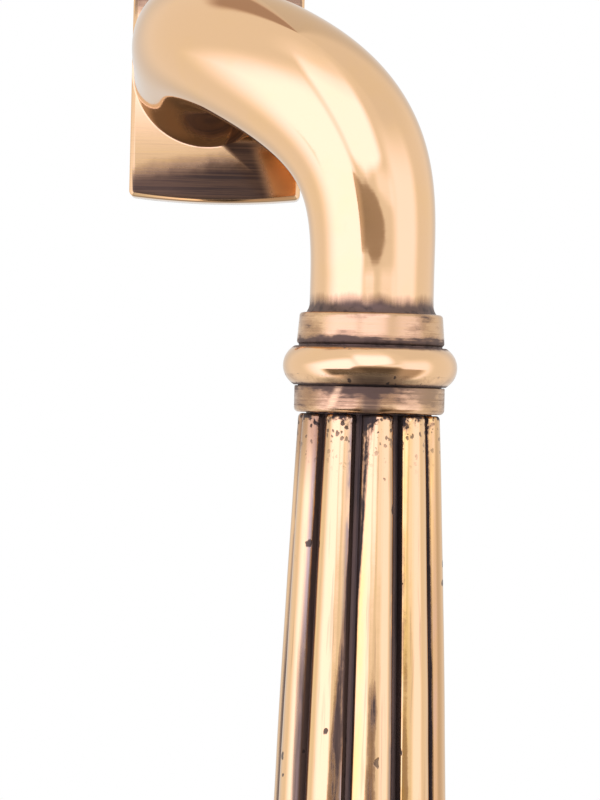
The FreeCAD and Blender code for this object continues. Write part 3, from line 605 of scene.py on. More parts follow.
def rounded(corners):
    """A profile with its corners rounded; a corner is (across, along, radius, patina)."""
    steps = 6
    result = []
    for index, (across, along, radius, dark) in enumerate(corners):
        here = Vector((across, along))
        if radius <= 0:
            result.append((across, along, dark))
            continue
        before = Vector(corners[index - 1][:2]) - here
        after = Vector(corners[(index + 1) % len(corners)][:2]) - here
        before.normalize()
        after.normalize()
        opening = before.angle(after)
        reach = radius / math.tan(opening / 2)
        centre = here + (before + after).normalized() * (radius / math.sin(opening / 2))
        start = here + before * reach - centre
        end = here + after * reach - centre
        sweep = start.angle_signed(end)
        for step in range(steps + 1):
            spoke = Matrix.Rotation(-sweep * step / steps, 2) @ start
            result.append((centre.x + spoke.x, centre.y + spoke.y, dark))
    return divided(result)


def divided(profile):
    """A profile with its long runs divided, so that its patina fades along them."""
    result = []
    for first, second in zip(profile, profile[1:] + profile[:1]):
        run = math.hypot(second[0] - first[0], second[1] - first[1])
        pieces = max(1, min(12, round(run / (0.3 * MM))))
        for step in range(pieces):
            part = step / pieces
            result.append(tuple(a * (1 - part) + b * part for a, b in zip(first, second)))
    return result


def circle(around):
    """The turns of a full circle, in equal steps."""
    return [2 * math.pi * step / around for step in range(around)]


def dressed(node, rings, closed, title, finish):
    """The bronze piece of a node, over rings of points that each have their patina."""
    points, faces = loops([ring for ring, dark in rings], closed)
    patina_and_painted_dark = [dark for ring, dark in rings for point in ring]
    return piece(node + "_bronze", points, faces, patina_and_painted_dark, bronze_surface(title, finish))


def turned(node, title, finish, profile):
    """Turn a node's ring from a closed profile of (radius, height, patina)."""
    axis = grip_axis()
    turns = circle(192)
    rings = [([Vector((axis.x + radius * math.sin(turn), axis.y - radius * math.cos(turn), height))
               for turn in turns], dark) for radius, height, dark in profile]
    hand_over(dressed(node, rings, True, title, finish), "handle", node)


def half_round(high, low, wide, painted_underside_shade=0.0):
    """The section of a bead between two heights, dark towards its crevices, with a painted shade
    over its lower part where one is given.
    """
    middle = (high + low) / 2
    reach = math.asin(min(1.0, (high - low) / 2 / BEAD_CURVE))
    steps = 40
    clean, under = 0.72, 0.35  # shares of the reach, from its middle
    profile = []
    for step in range(steps + 1):
        lean = reach - 2 * reach * step / steps
        dark = max(0.0, (abs(lean) / reach - clean) / (1 - clean))
        # Painted shade on the lower part of the bead.
        if lean < -under * reach:
            dark = max(dark, painted_underside_shade)
        profile.append((wide - BEAD_CURVE + BEAD_CURVE * math.cos(lean),
                        middle + BEAD_CURVE * math.sin(lean), dark))
    return profile


def carve(target, cutters):
    """Take the cutters out of a piece and shade it again."""
    for cutter in cutters:
        step = target.modifiers.new("carve", "BOOLEAN")
        step.object = cutter
        step.operation = "DIFFERENCE"
        step.solver = "EXACT"
    solved = target.evaluated_get(bpy.context.evaluated_depsgraph_get())
    mesh = bpy.data.meshes.new_from_object(solved)
    target.modifiers.clear()
    target.data = mesh
    mesh.name = target.name
    for cutter in cutters:
        bpy.data.objects.remove(cutter)
    smooth(mesh)


def bar(radius, start, end, around=64):
    """A round bar between two points, to carve with."""
    along = (end - start).normalized()
    side = along.orthogonal().normalized()
    other = along.cross(side)
    rings = [[centre + side * (radius * math.cos(turn)) + other * (radius * math.sin(turn))
              for turn in circle(around)] for centre in (start, end)]
    return piece("cutter", *loops(rings, False))


def block(low, high):
    """A square block between two corners, to carve with."""
    rings = [[Vector((x, y, z)) for x, z in ((low.x, low.z), (high.x, low.z), (high.x, high.z),
                                             (low.x, high.z))] for y in (low.y, high.y)]
    return piece("cutter", *loops(rings, False))


def pulled(row, amount):
    """A point of the smooth curve that a row of control points pulls along."""
    row = list(row)
    while len(row) > 1:
        row = [first * (1 - amount) + second * amount for first, second in zip(row, row[1:])]
    return row[0]


def hand_over(made, body, *nodes):
    """Put a finished bronze piece on its body in place of its nodes."""
    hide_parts(*nodes)
    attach(made, body)


# Operators

class HANDLE_OT_plate(Operator):
    """Build the domed and bevelled back plate"""
    bl_idname = "handle.plate"
    bl_label = "Back plate"

    def outline(self, shape, low, high):
        """The plate's outline as points with the directions that face outwards."""
        centre = (low.x + high.x) / 2
        half = (high.x - low.x) / 2
        radius = (half ** 2 + shape.arch ** 2) / (2 * shape.arch)
        lift = high.z - radius
        r = shape.corner_round
        corner = Vector((half - r, lift + math.sqrt((radius - r) ** 2 - (half - r) ** 2)))
        turn = math.atan2(corner.x, corner.y - lift)
        quarter = []
        along_arch, round_corner, down_side = 21, 14, 35
        for step in range(along_arch + 1):
            bend = turn * step / along_arch
            out = Vector((math.sin(bend), math.cos(bend)))
            quarter.append((Vector((radius * out.x, lift + radius * out.y)), out))
        for step in range(1, round_corner + 1):
            bend = turn + (math.pi / 2 - turn) * step / round_corner
            out = Vector((math.sin(bend), math.cos(bend)))
            quarter.append((corner + out * r, out))
        for step in range(1, down_side + 1):
            height = corner.y * (1 - step / down_side)
            quarter.append((Vector((half, height)), Vector((1, 0))))
        whole = []
        for across, up in ((1, 1), (1, -1), (-1, -1), (-1, 1)):
            points = [(Vector((p.x * across, p.y * up)), Vector((o.x * across, o.y * up)))
                      for p, o in quarter]
            if across * up < 0:
                points.reverse()
            whole += points[1:]
        return [(Vector((p.x + centre, p.y)), o) for p, o in whole]

    def edge_rings(self, shape, rim, front, dome):
        """The rings up the sides and over the bevel, each with its patina."""
        soft, bevel = shape.edge_round, shape.bevel
        for inset, y, dark in ((soft, 0.0, 0.2), (soft * 0.3, -soft * 0.3, 0.2),
                               (0.0, -soft, 0.1), (0.0, -front * 0.4, 0.05)):
            yield [Vector((point.x - out.x * inset, y, point.y - out.y * inset))
                   for point, out in rim], dark
        for inset, depth, dark in (
                (0.0, bevel + soft * 0.7, 0.05), (soft * 0.12, bevel + soft * 0.1, 0.0),
                (soft * 0.6, bevel - soft * 0.6, 0.0), (bevel * 0.35, bevel * 0.65, 0.0),
                (bevel * 0.65, bevel * 0.35, 0.0), (bevel - soft * 0.6, soft * 0.6, 0.0),
                (bevel - soft * 0.1, soft * 0.14, 0.0), (bevel + soft * 0.7, 0.0, 0.0)):
            ring = []
            for point, out in rim:
                flat = point - out * inset
                edge = point - out * bevel
                ring.append(Vector((flat.x, dome(edge.x, edge.y) + depth, flat.y)))
            yield ring, dark

    def inner_rings(self, shape, start, seat, dome):
        """The rings across the front, down the seat and its track and through the pocket."""
        spokes = [point.normalized() for point in start]
        near_seat = 0.07  # of the way, where the patina begins
        for number in range(1, shape.rings + 1):
            part = number / shape.rings
            ring = []
            for point, spoke in zip(start, spokes):
                flat = point.lerp(spoke * shape.seat_radius, part)
                ring.append(Vector((flat.x, dome(flat.x, flat.y), flat.y)))
            yield ring, max(0.0, 1 - (1 - part) / near_seat) * 0.1
        bore = half_width("pivot_bush") - 0.9 * MM  # the bush without its flange
        gutter = shape.track_half
        rounds = [(shape.seat_radius, -seat, 0.15), (TRACK_RADIUS + gutter, -seat, 0.9)]
        steps = 8
        for step in range(1, steps):
            bend = math.pi * step / steps
            rounds.append((TRACK_RADIUS + gutter * math.cos(bend),
                           -seat + shape.track_depth * math.sin(bend), 0.8))
        rounds += [(TRACK_RADIUS - gutter, -seat, 0.8), (bore, -seat, 0.8),
                   (bore, -shape.pocket_depth, 0.5),
                   (shape.pocket_radius, -shape.pocket_depth, 0.4),
                   (shape.pocket_radius, 0.0, 0.3)]
        for radius, y, dark in rounds:
            yield [Vector((spoke.x * radius, y, spoke.y * radius)) for spoke in spokes], dark

    def execute(self, context):
        shape = context.scene.plate_shape
        seat = 0.05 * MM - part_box("pivot_bush")[0].y
        front = seat + shape.seat_depth
        rim = self.outline(shape, *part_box("back_plate"))

        def dome(x, z):
            fall = shape.dome_radius - math.sqrt(shape.dome_radius ** 2 - x * x - z * z)
            return -(front - fall)

        inset = shape.bevel + shape.edge_round * 0.7
        start = [point - out * inset for point, out in rim]
        rings = [*self.edge_rings(shape, rim, front, dome),
                 *self.inner_rings(shape, start, seat, dome)]
        made = dressed("back_plate", rings, True, "polished plate bronze", plate_finish)
        cutters = []
        for side in (-1, 1):
            hole = Vector((0, 1 * MM, side * shape.fixing_spacing / 2))
            cutters.append(bar(shape.fixing_radius, hole,
                               Vector((0, -shape.fixing_depth, hole.z)), 48))
        cutters.append(self.stop_recess(shape))
        carve(made, cutters)
        hand_over(made, "plate", "back_plate")
        return {"FINISHED"}

    def stop_recess(self, shape):
        """The slot behind the plate in which the stop washer's tab travels."""
        outer = 9.8 * MM
        inner = shape.pocket_radius * 0.8
        depth = 2.1 * MM
        half = math.radians(56)
        steps = 32
        turns = [-half + 2 * half * step / steps for step in range(steps + 1)]
        arc = [(outer, turn) for turn in turns] + [(inner, -turn) for turn in turns]
        rings = [[Vector((reach * math.sin(turn), y, reach * math.cos(turn)))
                  for reach, turn in arc] for y in (1 * MM, -depth)]
        return piece("cutter", *loops(rings, False))


class HANDLE_OT_neck(Operator):
    """Build the swan neck with its journal and foot"""
    bl_idname = "handle.neck"
    bl_label = "Swan neck"

    def rows(self, shape, root, end):
        """The sections from the journal to the foot, as (centre, way, radius, patina).

        The neck follows one smooth curve, which its crest, saddle and bend pull into the
        outline that the photograph shows, and its radius follows another.
        """
        axis = grip_axis()
        lead = 6.15 * MM
        run = 20.7 * MM
        crest, saddle, bend = (Vector(point) * MM for point in (
            (2.2, -30.35, 5.35), (-13.9, -27.8, 3.15), (20.3, -47.15, -2.25)))
        path = [Vector((0, -root, 0)), Vector((0, -root - lead, 0)), crest, saddle, bend,
                Vector((axis.x, axis.y, run - shape.drop)),
                Vector((axis.x, axis.y, -shape.drop))]
        radii = [value * MM for value in (9.8, 9.5, 9.85, 4.2, 12.0, 7.5, 7.5)]
        steps = [after - before for before, after in zip(path, path[1:])]
        into, down = Vector((0, -1, 0)), Vector((0, 0, -1))
        journal, first, foot = shape.journal_radius, radii[0], radii[-1]
        groove = journal - 0.7 * MM
        found = []
        for y, radius, dark in (
                (0.2 * MM, journal - 0.25 * MM, 0.3), (0.4 * MM, journal, 0.3),
                (0.42 * MM, groove, 0.5), (1.05 * MM, groove, 0.5), (1.05 * MM, journal, 0.4),
                (root, journal, 0.4), (root, first - 0.2 * MM, 0.2),
                (root + 0.03 * MM, first - 0.08 * MM, 0.1),
                (root + 0.12 * MM, first - 0.02 * MM, 0.05)):
            found.append((Vector((0, -y, 0)), into, radius, dark))
        for number in range(1, shape.spans + 1):
            part = number / shape.spans
            centre = pulled(path, part)
            travelled = (centre - path[0]).length
            dark = max(0.08 * (1 - travelled / (0.8 * MM)), self.foot_patina(centre.z, end))
            found.append((centre, pulled(steps, part).normalized(), pulled(radii, part), dark))
        flare_top = end + shape.flare_length
        straight, flared = 12, 10
        heights = [(-shape.drop + (flare_top + shape.drop) * step / straight, 0.0)
                   for step in range(1, straight + 1)]
        heights += [(flare_top + (end - flare_top) * step / flared, step / flared)
                    for step in range(1, flared + 1)]
        for height, part in heights:
            found.append((Vector((axis.x, axis.y, height)), down,
                          foot + shape.flare * part ** 2, self.foot_patina(height, end)))
        found.append((Vector((axis.x, axis.y, end)), down, STUD_BORE, 0.5))
        return found

    def foot_patina(self, height, end):
        """The dark tone that is left in the hollow above the first ring."""
        return max(0.0, min(1.0, 1.15 - (height - end) / (2.4 * MM)))

    def cutters(self, root, end):
        """The spindle's socket, the journal's flats, the ball holes and the stud's hole."""
        half = 3.55 * MM
        found = [block(Vector((-half, -13.9 * MM, -half)), Vector((half, 1 * MM, half)))]
        flat, wide, behind = 5.4 * MM, 8 * MM, 2.05 * MM
        for up in (-1, 1):
            low, high = sorted((up * flat, up * (flat + 3 * MM)))
            found.append(block(Vector((-wide, -behind, low)), Vector((wide, 1 * MM, high))))
        for across in (-1, 1):
            mouth = Vector((across * TRACK_RADIUS, -root + 1 * MM, 0))
            found.append(bar(1.05 * MM, mouth, Vector((mouth.x, -root - 4.5 * MM, 0)), 32))
        axis = grip_axis()
        found.append(bar(half_width("tie_stud"), Vector((axis.x, axis.y, end - 1 * MM)),
                         Vector((axis.x, axis.y, level("tie_stud", 1)))))
        return found

    def execute(self, context):
        shape = context.scene.neck_shape
        root = -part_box("pivot_bush")[0].y + 0.1 * MM
        end = level("neck_collar", 1)
        side = Vector((1, 0, 0))
        rings = []
        for centre, along, radius, dark in self.rows(shape, root, end):
            side = (side - along * side.dot(along)).normalized()
            other = along.cross(side)
            rings.append(([centre + (side * math.cos(turn) + other * math.sin(turn)) * radius
                           for turn in circle(shape.around)], dark))
        made = dressed("neck", rings, False, "polished neck bronze", neck_finish)
        carve(made, self.cutters(root, end))
        hand_over(made, "handle", "neck")
        return {"FINISHED"}


class HANDLE_OT_rings(Operator):
    """Build the turned rings between the neck and the grip"""
    bl_idname = "handle.rings"
    bl_label = "Turned rings"

    def execute(self, context):
        bore = STUD_BORE
        top, foot, wide = standing("neck_collar")
        turned("neck_collar", "turned collar bronze", collar_finish, rounded([
            (bore, top, 0, 0.5), (wide - 0.30 * MM, top, 0.42 * MM, 0.05),
            (wide - 0.09 * MM, foot + 1.3 * MM, 0, 0.16),
            (wide, foot, 0.40 * MM, 0.85), (bore, foot, 0, 0.9)]))
        top, foot, wide = standing("bead_ring")
        crevice = 8.7 * MM
        high, low = top - 0.2 * MM, foot + 0.1 * MM
        turned("bead_ring", "polished bead bronze", bead_finish, [
            (bore, top, 0.8), (crevice, top, 1.0), (crevice, high, 1.0),
            # Painted shade over the lower part of the bead.
            *half_round(high, low, wide, 0.22),
            (crevice, low, 1.0), (crevice, foot, 1.0), (bore, foot, 0.8)])
        top, foot, wide = standing("grip_collar")
        turned("grip_collar", "turned band bronze", band_finish, rounded([
            (bore, top, 0, 0.8), (wide, top, 0.12 * MM, 0.75),
            (wide, foot, 0.55 * MM, 0.30), (bore, foot, 0, 1.0)]))
        return {"FINISHED"}


class HANDLE_OT_grip(Operator):
    """Build the reeded grip from one reed, repeated round the axis"""
    bl_idname = "handle.grip"
    bl_label = "Reeded grip"

    def crown(self, shape, amount):
        """The radius over the reeds, from the top (0) to the foot (1)."""
        pull = 2 * shape.middle_radius - (shape.top_radius + shape.foot_radius) / 2
        return pulled([shape.top_radius, pull, shape.foot_radius], amount)

    def section(self, shape, radius):
        """Half a groove, a reed and half a groove, as (reach, angle, patina, place across)."""
        half_pitch = math.pi / shape.reeds
        edge = radius - shape.edge_drop
        floor = radius - shape.groove_depth
        brink = half_pitch - shape.groove_width / 2 / edge
        deep = half_pitch - shape.groove_floor / 2 / floor
        middle = Vector((0, radius))
        end = Vector((edge * math.sin(brink), edge * math.cos(brink)))
        bend = (middle - end).length ** 2 / (2 * (middle - end).y)
        sweep = math.atan2(end.x, end.y - radius + bend)
        side = []
        steps = 14
        for step in range(steps + 1):
            lift = step / steps
            turn = sweep * lift
            point = Vector((math.sin(turn) * bend, radius - bend + math.cos(turn) * bend))
            side.append((point.length, math.atan2(point.x, point.y), 0.30 * lift ** 3, lift))
        for part, dark in ((0.06, 0.42), (0.2, 0.55), (0.45, 0.8), (0.75, 1.0), (0.94, 1.0)):
            side.append((edge + (floor - edge) * part, brink + (deep - brink) * part, dark, 1.0))
        side.append((floor, deep, 1.0, 1.0))
        side.append((floor, half_pitch, 1.0, 0.0))
        return [(reach, -turn, dark, -place) for reach, turn, dark, place in
                reversed(side[1:])] + side

    def sector(self, shape, top, foot, spigot_top):
        """One closed slice of the grip, with a reed at its middle, on the axis."""
        turn_in = shape.turn_in
        long = top - foot
        depths = [value * MM for value in (0.0, 0.05, 0.14, 0.3, 0.5)]
        depths += [0.8 * MM + (long - 1.1 * MM) * step / shape.rows
                   for step in range(shape.rows + 1)]
        depths.append(long)
        sample = self.section(shape, shape.top_radius)
        rows = [[(radius, turn, height, 0.9, 0.0) for reach, turn, dark, place in sample]
                for radius, height in ((STUD_BORE, foot), (STUD_BORE, spigot_top),
                                       (shape.spigot_radius, spigot_top),
                                       (shape.spigot_radius, top))]
        for depth in depths:
            shrink = 0.0
            if depth < turn_in:
                part = 1 - depth / turn_in
                shrink = turn_in * 0.75 * (1 - math.sqrt(max(0.0, 1 - part * part)))
            shade = max(0.0, 1.0 - depth / (1.4 * MM))
            near_foot = max(0.0, 1.0 - (long - depth) / (0.9 * MM))
            row = []
            for reach, turn, dark, place in self.section(shape, self.crown(shape, depth / long)):
                low = max(shape.spigot_radius - 0.5 * MM, reach - shrink)
                tone = max(dark, 0.30 * shade, 0.6 * near_foot)
                row.append((min(reach, low), turn, top - depth, tone, place))
            rows.append(row)
        points = [Vector((reach * math.sin(turn), -reach * math.cos(turn), height))
                  for row in rows for reach, turn, height, dark, place in row]
        marks = {PATINA_AND_PAINTED_DARK: [spot[3] for row in rows for spot in row],
                 ACROSS: [spot[4] for row in rows for spot in row]}
        size = len(sample)
        faces = []
        for number in range(len(rows)):
            one = number * size
            two = (number + 1) % len(rows) * size
            faces += [(one + index, two + index, two + index + 1, one + index + 1)
                      for index in range(size - 1)]
        return points, faces, marks

    def execute(self, context):
        shape = context.scene.grip_shape
        spigot_top = level("grip", 1)
        reeds_top = spigot_top - 0.15 * MM
        points, faces, marks = self.sector(shape, reeds_top, level("grip", 0), spigot_top)
        mesh = bpy.data.meshes.new("reed")
        mesh.from_pydata([tuple(point) for point in points], [], faces)
        for name, values in marks.items():
            mesh.attributes.new(name, "FLOAT", "POINT").data.foreach_set("value", values)
        made = add_object("grip_bronze", mesh)
        finish = bronze_surface("reeded grip bronze", reed_finish)
        repeat = made.modifiers.new("reeds", "NODES")
        group = self.nodes()
        repeat.node_group = group
        values = {"Count": shape.reeds, "First Turn": shape.turn, "Axis": tuple(grip_axis()),
                  "Waviness": shape.waviness, "Seed": float(shape.seed), "Finish": finish}
        for item in group.interface.items_tree:
            if item.item_type == "SOCKET" and item.in_out == "INPUT" and item.name in values:
                repeat[item.identifier] = values[item.name]
        solved = made.evaluated_get(context.evaluated_depsgraph_get())
        plain = bpy.data.meshes.new_from_object(solved)
        made.modifiers.clear()
        made.data = plain
        tidy(made, math.radians(40))
        if not plain.materials:
            plain.materials.append(finish)
        hand_over(made, "handle", "grip")
        return {"FINISHED"}

    def nodes(self):
        """Turn one slice round the axis and give it the unevenness of hand finishing."""
        group = bpy.data.node_groups.new("reeds round an axis", "GeometryNodeTree")
        for name, way, kind in (
                ("Geometry", "INPUT", "Geometry"), ("Count", "INPUT", "Int"),
                ("First Turn", "INPUT", "Float"), ("Axis", "INPUT", "Vector"),
                ("Waviness", "INPUT", "Float"), ("Seed", "INPUT", "Float"),
                ("Finish", "INPUT", "Material"), ("Geometry", "OUTPUT", "Geometry")):
            group.interface.new_socket(name, in_out=way, socket_type="NodeSocket" + kind)
        tree = Tree(group)
        given = tree.node("NodeGroupInput").outputs

        def step(kind, inputs=None):
            return tree.out("GeometryNode" + kind, inputs)

        number = Value(tree, step("InputIndex"))
        turn = number * (2 * math.pi) / Value(tree, given["Count"]) \
            + Value(tree, given["First Turn"])
        around = tree.out("ShaderNodeCombineXYZ", {"Z": turn})
        spots = step("MeshLine", {"Count": given["Count"], "Offset": (0.0, 0.0, 0.0)})
        placed = step("InstanceOnPoints", {
            "Points": spots, "Instance": given["Geometry"], "Rotation": around})
        moved = step("TranslateInstances", {
            "Instances": placed, "Translation": given["Axis"], "Local Space": False})
        solid = step("RealizeInstances", {"Geometry": moved})
        joined = step("MergeByDistance", {"Geometry": solid, "Distance": 1e-6})
        spot = step("InputPosition")
        wave = tree.value("ShaderNodeTexNoise",
                          {"Vector": tree.vector("MULTIPLY", spot, (210.0, 210.0, 75.0)),
                           "W": given["Seed"], "Scale": 1.0, "Detail": 1.5},
                          noise_dimensions="4D")
        outward = tree.vector("MULTIPLY", step("InputNormal"), (1.0, 1.0, 0.0))
        height = tree.parts(spot)[2]
        top, foot = level("grip", 1), level("grip", 0)
        free = height.ramp(foot + 0.2 * MM, foot + 0.8 * MM) \
            * height.ramp(top - 0.3 * MM, top - 1 * MM)
        depth = (wave - 0.62) * Value(tree, given["Waviness"]) * 2.0 * free
        shift = tree.out("ShaderNodeVectorMath", {0: outward, "Scale": depth}, operation="SCALE")
        uneven = step("SetPosition", {"Geometry": joined, "Offset": shift})
        smoothed = step("SetShadeSmooth", {"Geometry": uneven})
        solid = step("RealizeInstances", {"Geometry": smoothed})
        finished = step("SetMaterial", {"Geometry": solid, "Material": given["Finish"]})
        tree.node("NodeGroupOutput", {"Geometry": finished})
        return group


class HANDLE_OT_foot(Operator):
    """Build the collar, the bead and the domed cap at the grip's foot"""
    bl_idname = "handle.foot"
    bl_label = "Foot rings and cap"

    def execute(self, context):
        bore = STUD_BORE
        top, foot, wide = standing("end_collar")
        turned("end_collar", "turned end collar bronze", collar_finish, rounded([
            (bore, top, 0, 0.8), (wide, top, 0.55 * MM, 0.3),
            (wide, foot, 0.12 * MM, 0.6), (bore, foot, 0, 0.8)]))
        top, foot, wide = standing("end_bead")
        crevice, high = 9.6 * MM, top - 0.2 * MM
        housing = half_width("lock_washer") + 0.05 * MM
        washer_top = level("lock_washer", 1)
        turned("end_bead", "polished end bead bronze", bead_finish, [
            (bore, top, 0.8), (crevice, top, 1.0), (crevice, high, 1.0),
            *half_round(high, foot, wide),
            (housing, foot, 0.9), (housing, washer_top, 0.9), (bore, washer_top, 0.9)])
        turned("end_cap", "polished cap bronze", bead_finish, self.cap())
        return {"FINISHED"}

    def cap(self):
        """The cap's profile: a short upright side and a dome, hollow for the stud."""
        top, foot, wide = standing("end_cap")
        stud, stud_foot = half_width("tie_stud"), level("tie_stud", 0)
        side = top - 1.2 * MM
        drop = side - foot
        radius = (wide ** 2 + drop ** 2) / (2 * drop)
        sweep = math.asin(wide / radius)
        centre_line = 1e-9
        profile = [(stud, top, 0.8), (wide - 0.1 * MM, top, 0.9), (wide, top - 0.1 * MM, 0.7)]
        upright, domed = 6, 40
        profile += [(wide, top + (side - top) * step / upright, 0.5 - 0.08 * step)
                    for step in range(1, upright)]
        for step in range(domed + 1):
            turn = sweep * (1 - step / domed)
            profile.append((max(radius * math.sin(turn), centre_line),
                            foot + radius - radius * math.cos(turn), 0.0))
        return profile + [(centre_line, stud_foot, 0.5), (stud, stud_foot, 0.5)]


class HANDLE_OT_hardware(Operator):
    """Give the working parts their machined metals"""
    bl_idname = "handle.hardware"
    bl_label = "Working parts"

    def execute(self, context):
        look = context.scene.bronze_finish
        for finish, names in (
                (plain_metal("drawn spindle steel", look.steel, (4200, 260, 4200)),
                 ("spindle", "tie_stud")),
                (plain_metal("turned steel", look.steel, (2600, 2600, 2600)),
                 ("spindle_pin", "wave_washer", "stop_washer", "retaining_clip",
                  "detent_springs", "anti_turn_pin", "lock_washer")),
                (plain_metal("polished ball steel", look.steel, (900, 900, 900)),
                 ("detent_balls",)),
                (plain_metal("turned bearing bronze", look.bearing, (500, 4200, 500)),
                 ("pivot_bush",))):
            for name in names:
                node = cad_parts[name]
                if not node.material_slots:
                    node.data.materials.append(finish)
                for slot in node.material_slots:
                    slot.material = finish
        return {"FINISHED"}


class HANDLE_OT_stage(Operator):
    """Set up the camera, the soft lights, the studio that the metal mirrors and the floor"""
    bl_idname = "handle.stage"
    bl_label = "Studio"

    def camera(self, context, look):
        data = bpy.data.cameras.new("camera")
        data.lens = look.lens
        data.sensor_width = 36.0
        data.clip_start = 0.01
        data.clip_end = 20.0
        made = add_object("camera", data)
        upright = Euler((math.pi / 2, 0, 0)).to_matrix()
        rolled = Matrix.Rotation(look.roll, 3, "Y") @ upright
        made.matrix_world = Matrix.Translation((look.camera_x, look.camera_y, look.camera_z)) \
            @ rolled.to_4x4()
        context.scene.camera = made

    def lamps(self):
        aim = Vector((0.012, -0.03, -0.06))
        for name, place, size, power in (
                ("left softbox", (-0.55, -0.55, 0.35), 0.5, 3.2),
                ("right softbox", (0.60, -0.40, 0.30), 0.45, 2.2),
                ("top softbox", (0.05, 0.05, 0.80), 0.6, 4.0)):
            data = bpy.data.lights.new(name, "AREA")
            data.shape = "SQUARE"
            data.size = size
            data.energy = power
            made = add_object(name, data)
            made.location = place
            made.rotation_euler = (aim - Vector(place)).to_track_quat("-Z", "Y").to_euler()
            made.visible_glossy = False

    def studio(self, tree, look):
        """The light from each direction that the metal mirrors, as its strength and colour.

        turn is the direction round the object, 0 towards the camera and 90 to its right, and
        lift is its height, both in degrees.
        """
        way = tree.node("ShaderNodeTexCoord").outputs["Generated"]
        x, y, z = tree.parts(way)
        turn = x.math("ARCTAN2", -1.0 * y) * (180 / math.pi)
        lift = z.math("ARCSINE") * (180 / math.pi)

        # bright: two softboxes, a front light that leans with its height, and the ceiling
        slant = turn + lift * 0.3
        left = (turn - lift.most(0.0) * 1.35).ramp(-108, -66) * slant.ramp(-13, -24) \
            * lift.ramp(56, 16)
        right = turn.ramp(31, 50) * turn.ramp(96, 78) * lift.ramp(40, 8)
        rise = lift - turn.most(0.0) * 0.38
        front = slant.ramp(-20, -10) * turn.ramp(37, 22) * rise.ramp(-0.8, 5.0) * lift.ramp(64, 40)
        crown = turn.ramp(-60, -20) * turn.ramp(46, 20) * lift.ramp(44, 56) * lift.ramp(84, 60)
        glow = turn.ramp(8, 20) * turn.ramp(46, 36) * lift.ramp(14, 5) * lift.ramp(-0.5, 2.5)
        shade = lift.ramp(18, 40) * turn.ramp(48, 60)
        bright = (1.0 + left * look.softbox + right * 0.43 + front * 0.80 + crown * 0.2
                  + glow * 0.30 - shade * 0.06)

        # dark: the room below a wavy horizon, with a low light at the left
        horizon = turn.ramp(0, -12) * -2.0 - turn.ramp(-20, -30) * 14.0 \
            - turn.ramp(6, 30) * 3.0 - turn.ramp(36, 46) * 7.0 - 0.2
        room = (lift - horizon).ramp(0.4, -0.8) * turn.ramp(-76, -60) * turn.ramp(84, 68)
        kick = turn.ramp(-88, -76) * turn.ramp(-36, -50) * lift.ramp(-43, -51)
        shallow = 0.55
        depth = (shallow + lift.ramp(-3, -13) * (look.dark_room - shallow)) \
            * (1.0 - kick * 0.85) * (1.0 - turn.ramp(26, 48) * 0.3) \
            + lift.ramp(-28, -42) * turn.ramp(40, 20) * (1.0 - kick) * 0.07
        under = (1.0 - turn.ramp(-76, -60) * turn.ramp(84, 68)) * lift.ramp(-44, -60) * 0.55
        behind = turn.math("ABSOLUTE").ramp(128, 155) * 0.2
        ceiling = turn.ramp(-100, -122) * turn.ramp(-178, -168) * lift.ramp(52, 62) * 0.5
        bright = bright * (1.0 - room * depth) * (1.0 - under) * (1.0 - behind.most(ceiling))

        tint = tree.mix(bright.ramp(1.0, 1.65), WHITE, (1.0, 1.0, 1.0 + look.cool))
        tint = tree.mix(room, tint, (1.0, 0.84, 0.72))
        return bright, tree.mix(ceiling, tint, (1.0, 0.58, 0.42))

    def world(self, context, look):
        """White to the camera, a soft grey for the lighting and the studio in the metal."""
        world = bpy.data.worlds.new("studio")
        world.use_nodes = True
        world.node_tree.nodes.clear()
        context.scene.world = world
        tree = Tree(world.node_tree)
        ray = tree.node("ShaderNodeLightPath").outputs
        bright, tint = self.studio(tree, look)

        def background(colour, strength):
            return tree.out("ShaderNodeBackground", {"Color": colour, "Strength": strength})

        shiny = tree.out("ShaderNodeMixShader", {
            0: ray["Is Glossy Ray"], 1: background(WHITE, 0.55), 2: background(tint, bright)})
        clear = Value(tree, ray["Is Camera Ray"]).most(Value(tree, ray["Is Transmission Ray"]))
        whole = tree.out("ShaderNodeMixShader", {0: clear, 1: shiny, 2: background(WHITE, 1.0)})
        tree.node("ShaderNodeOutputWorld", {"Surface": whole})

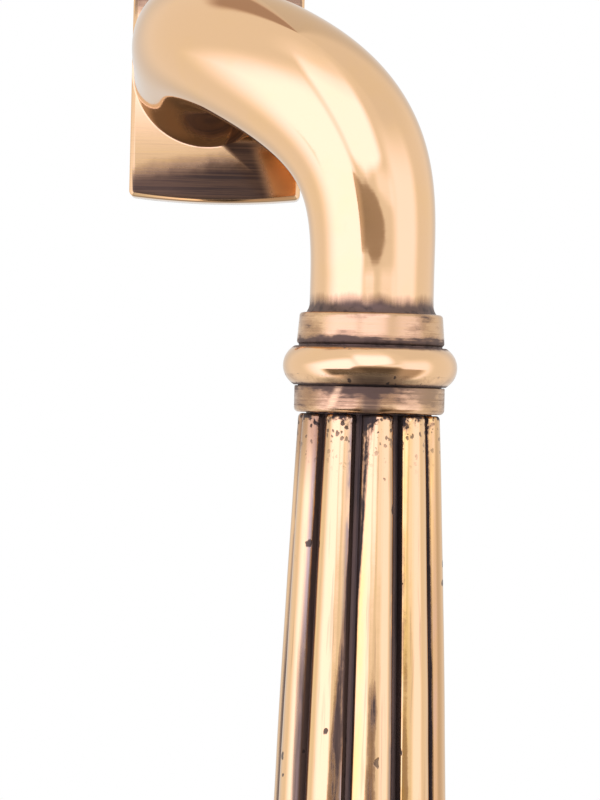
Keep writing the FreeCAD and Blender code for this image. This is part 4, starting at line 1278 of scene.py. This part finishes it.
    def floor(self, look):
        finish, tree = material("pale floor")
        grain = tree.noise((90, 90, 90), 4, 0.6)
        tone = tree.mix(grain.ramp(0.3, 0.7) * 0.5, look.floor_colour,
                        tuple(part * 0.97 for part in look.floor_colour))
        finish_surface(tree, tone, 0.85, 0.0, [(grain, 20e-6)])
        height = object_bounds()[0][2] - look.floor_drop
        half = look.floor_size / 2
        forward = 0.03
        corners = [Vector((x, y - forward, height)) for x, y in (
            (-half, -half), (half, -half), (half, half), (-half, half))]
        floor = piece("floor", corners, [(0, 1, 2, 3)], finish=finish)
        floor.visible_glossy = False
        floor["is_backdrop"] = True

    def execute(self, context):
        look = context.scene.studio_look
        context.scene.view_settings.view_transform = "Standard"
        self.camera(context, look)
        self.lamps()
        self.world(context, look)
        self.floor(look)
        return {"FINISHED"}


class HANDLE_PT_panel(Panel):
    """Lists the handle's pieces and what can be changed on them"""
    bl_idname = "HANDLE_PT_panel"
    bl_label = "Window handle"
    bl_space_type = "VIEW_3D"
    bl_region_type = "UI"
    bl_category = "Handle"

    def draw(self, context):
        for group, kind, label, operators in GROUPS:
            box = self.layout.box()
            box.label(text=label)
            values = getattr(context.scene, group)
            for name in values.bl_rna.properties.keys():
                if name not in ("rna_type", "name"):
                    box.prop(values, name)
            for step in operators:
                box.operator(step.bl_idname)


GROUPS = (
    ("plate_shape", PlateShape, "Back plate", (HANDLE_OT_plate,)),
    ("neck_shape", NeckShape, "Swan neck", (HANDLE_OT_neck,)),
    ("grip_shape", GripShape, "Reeded grip", (HANDLE_OT_grip,)),
    ("bronze_finish", BronzeFinish, "Finishes",
     (HANDLE_OT_rings, HANDLE_OT_foot, HANDLE_OT_hardware)),
    ("studio_look", StudioLook, "Studio", (HANDLE_OT_stage,)),
)
CLASSES = (PlateShape, NeckShape, GripShape, BronzeFinish, StudioLook, HANDLE_OT_plate,
           HANDLE_OT_neck, HANDLE_OT_rings, HANDLE_OT_grip, HANDLE_OT_foot, HANDLE_OT_hardware,
           HANDLE_OT_stage, HANDLE_PT_panel)


def register():
    for item in CLASSES:
        bpy.utils.register_class(item)
    for name, kind, label, operators in GROUPS:
        setattr(bpy.types.Scene, name, PointerProperty(type=kind))


def unregister():
    for name, kind, label, operators in GROUPS:
        delattr(bpy.types.Scene, name)
    for item in reversed(CLASSES):
        bpy.utils.unregister_class(item)


def main():
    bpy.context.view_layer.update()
    register()
    bpy.ops.handle.plate()
    bpy.ops.handle.neck()
    bpy.ops.handle.rings()
    bpy.ops.handle.grip()
    bpy.ops.handle.foot()
    bpy.ops.handle.hardware()
    bpy.ops.handle.stage()


if __name__ == "__main__":
    main()
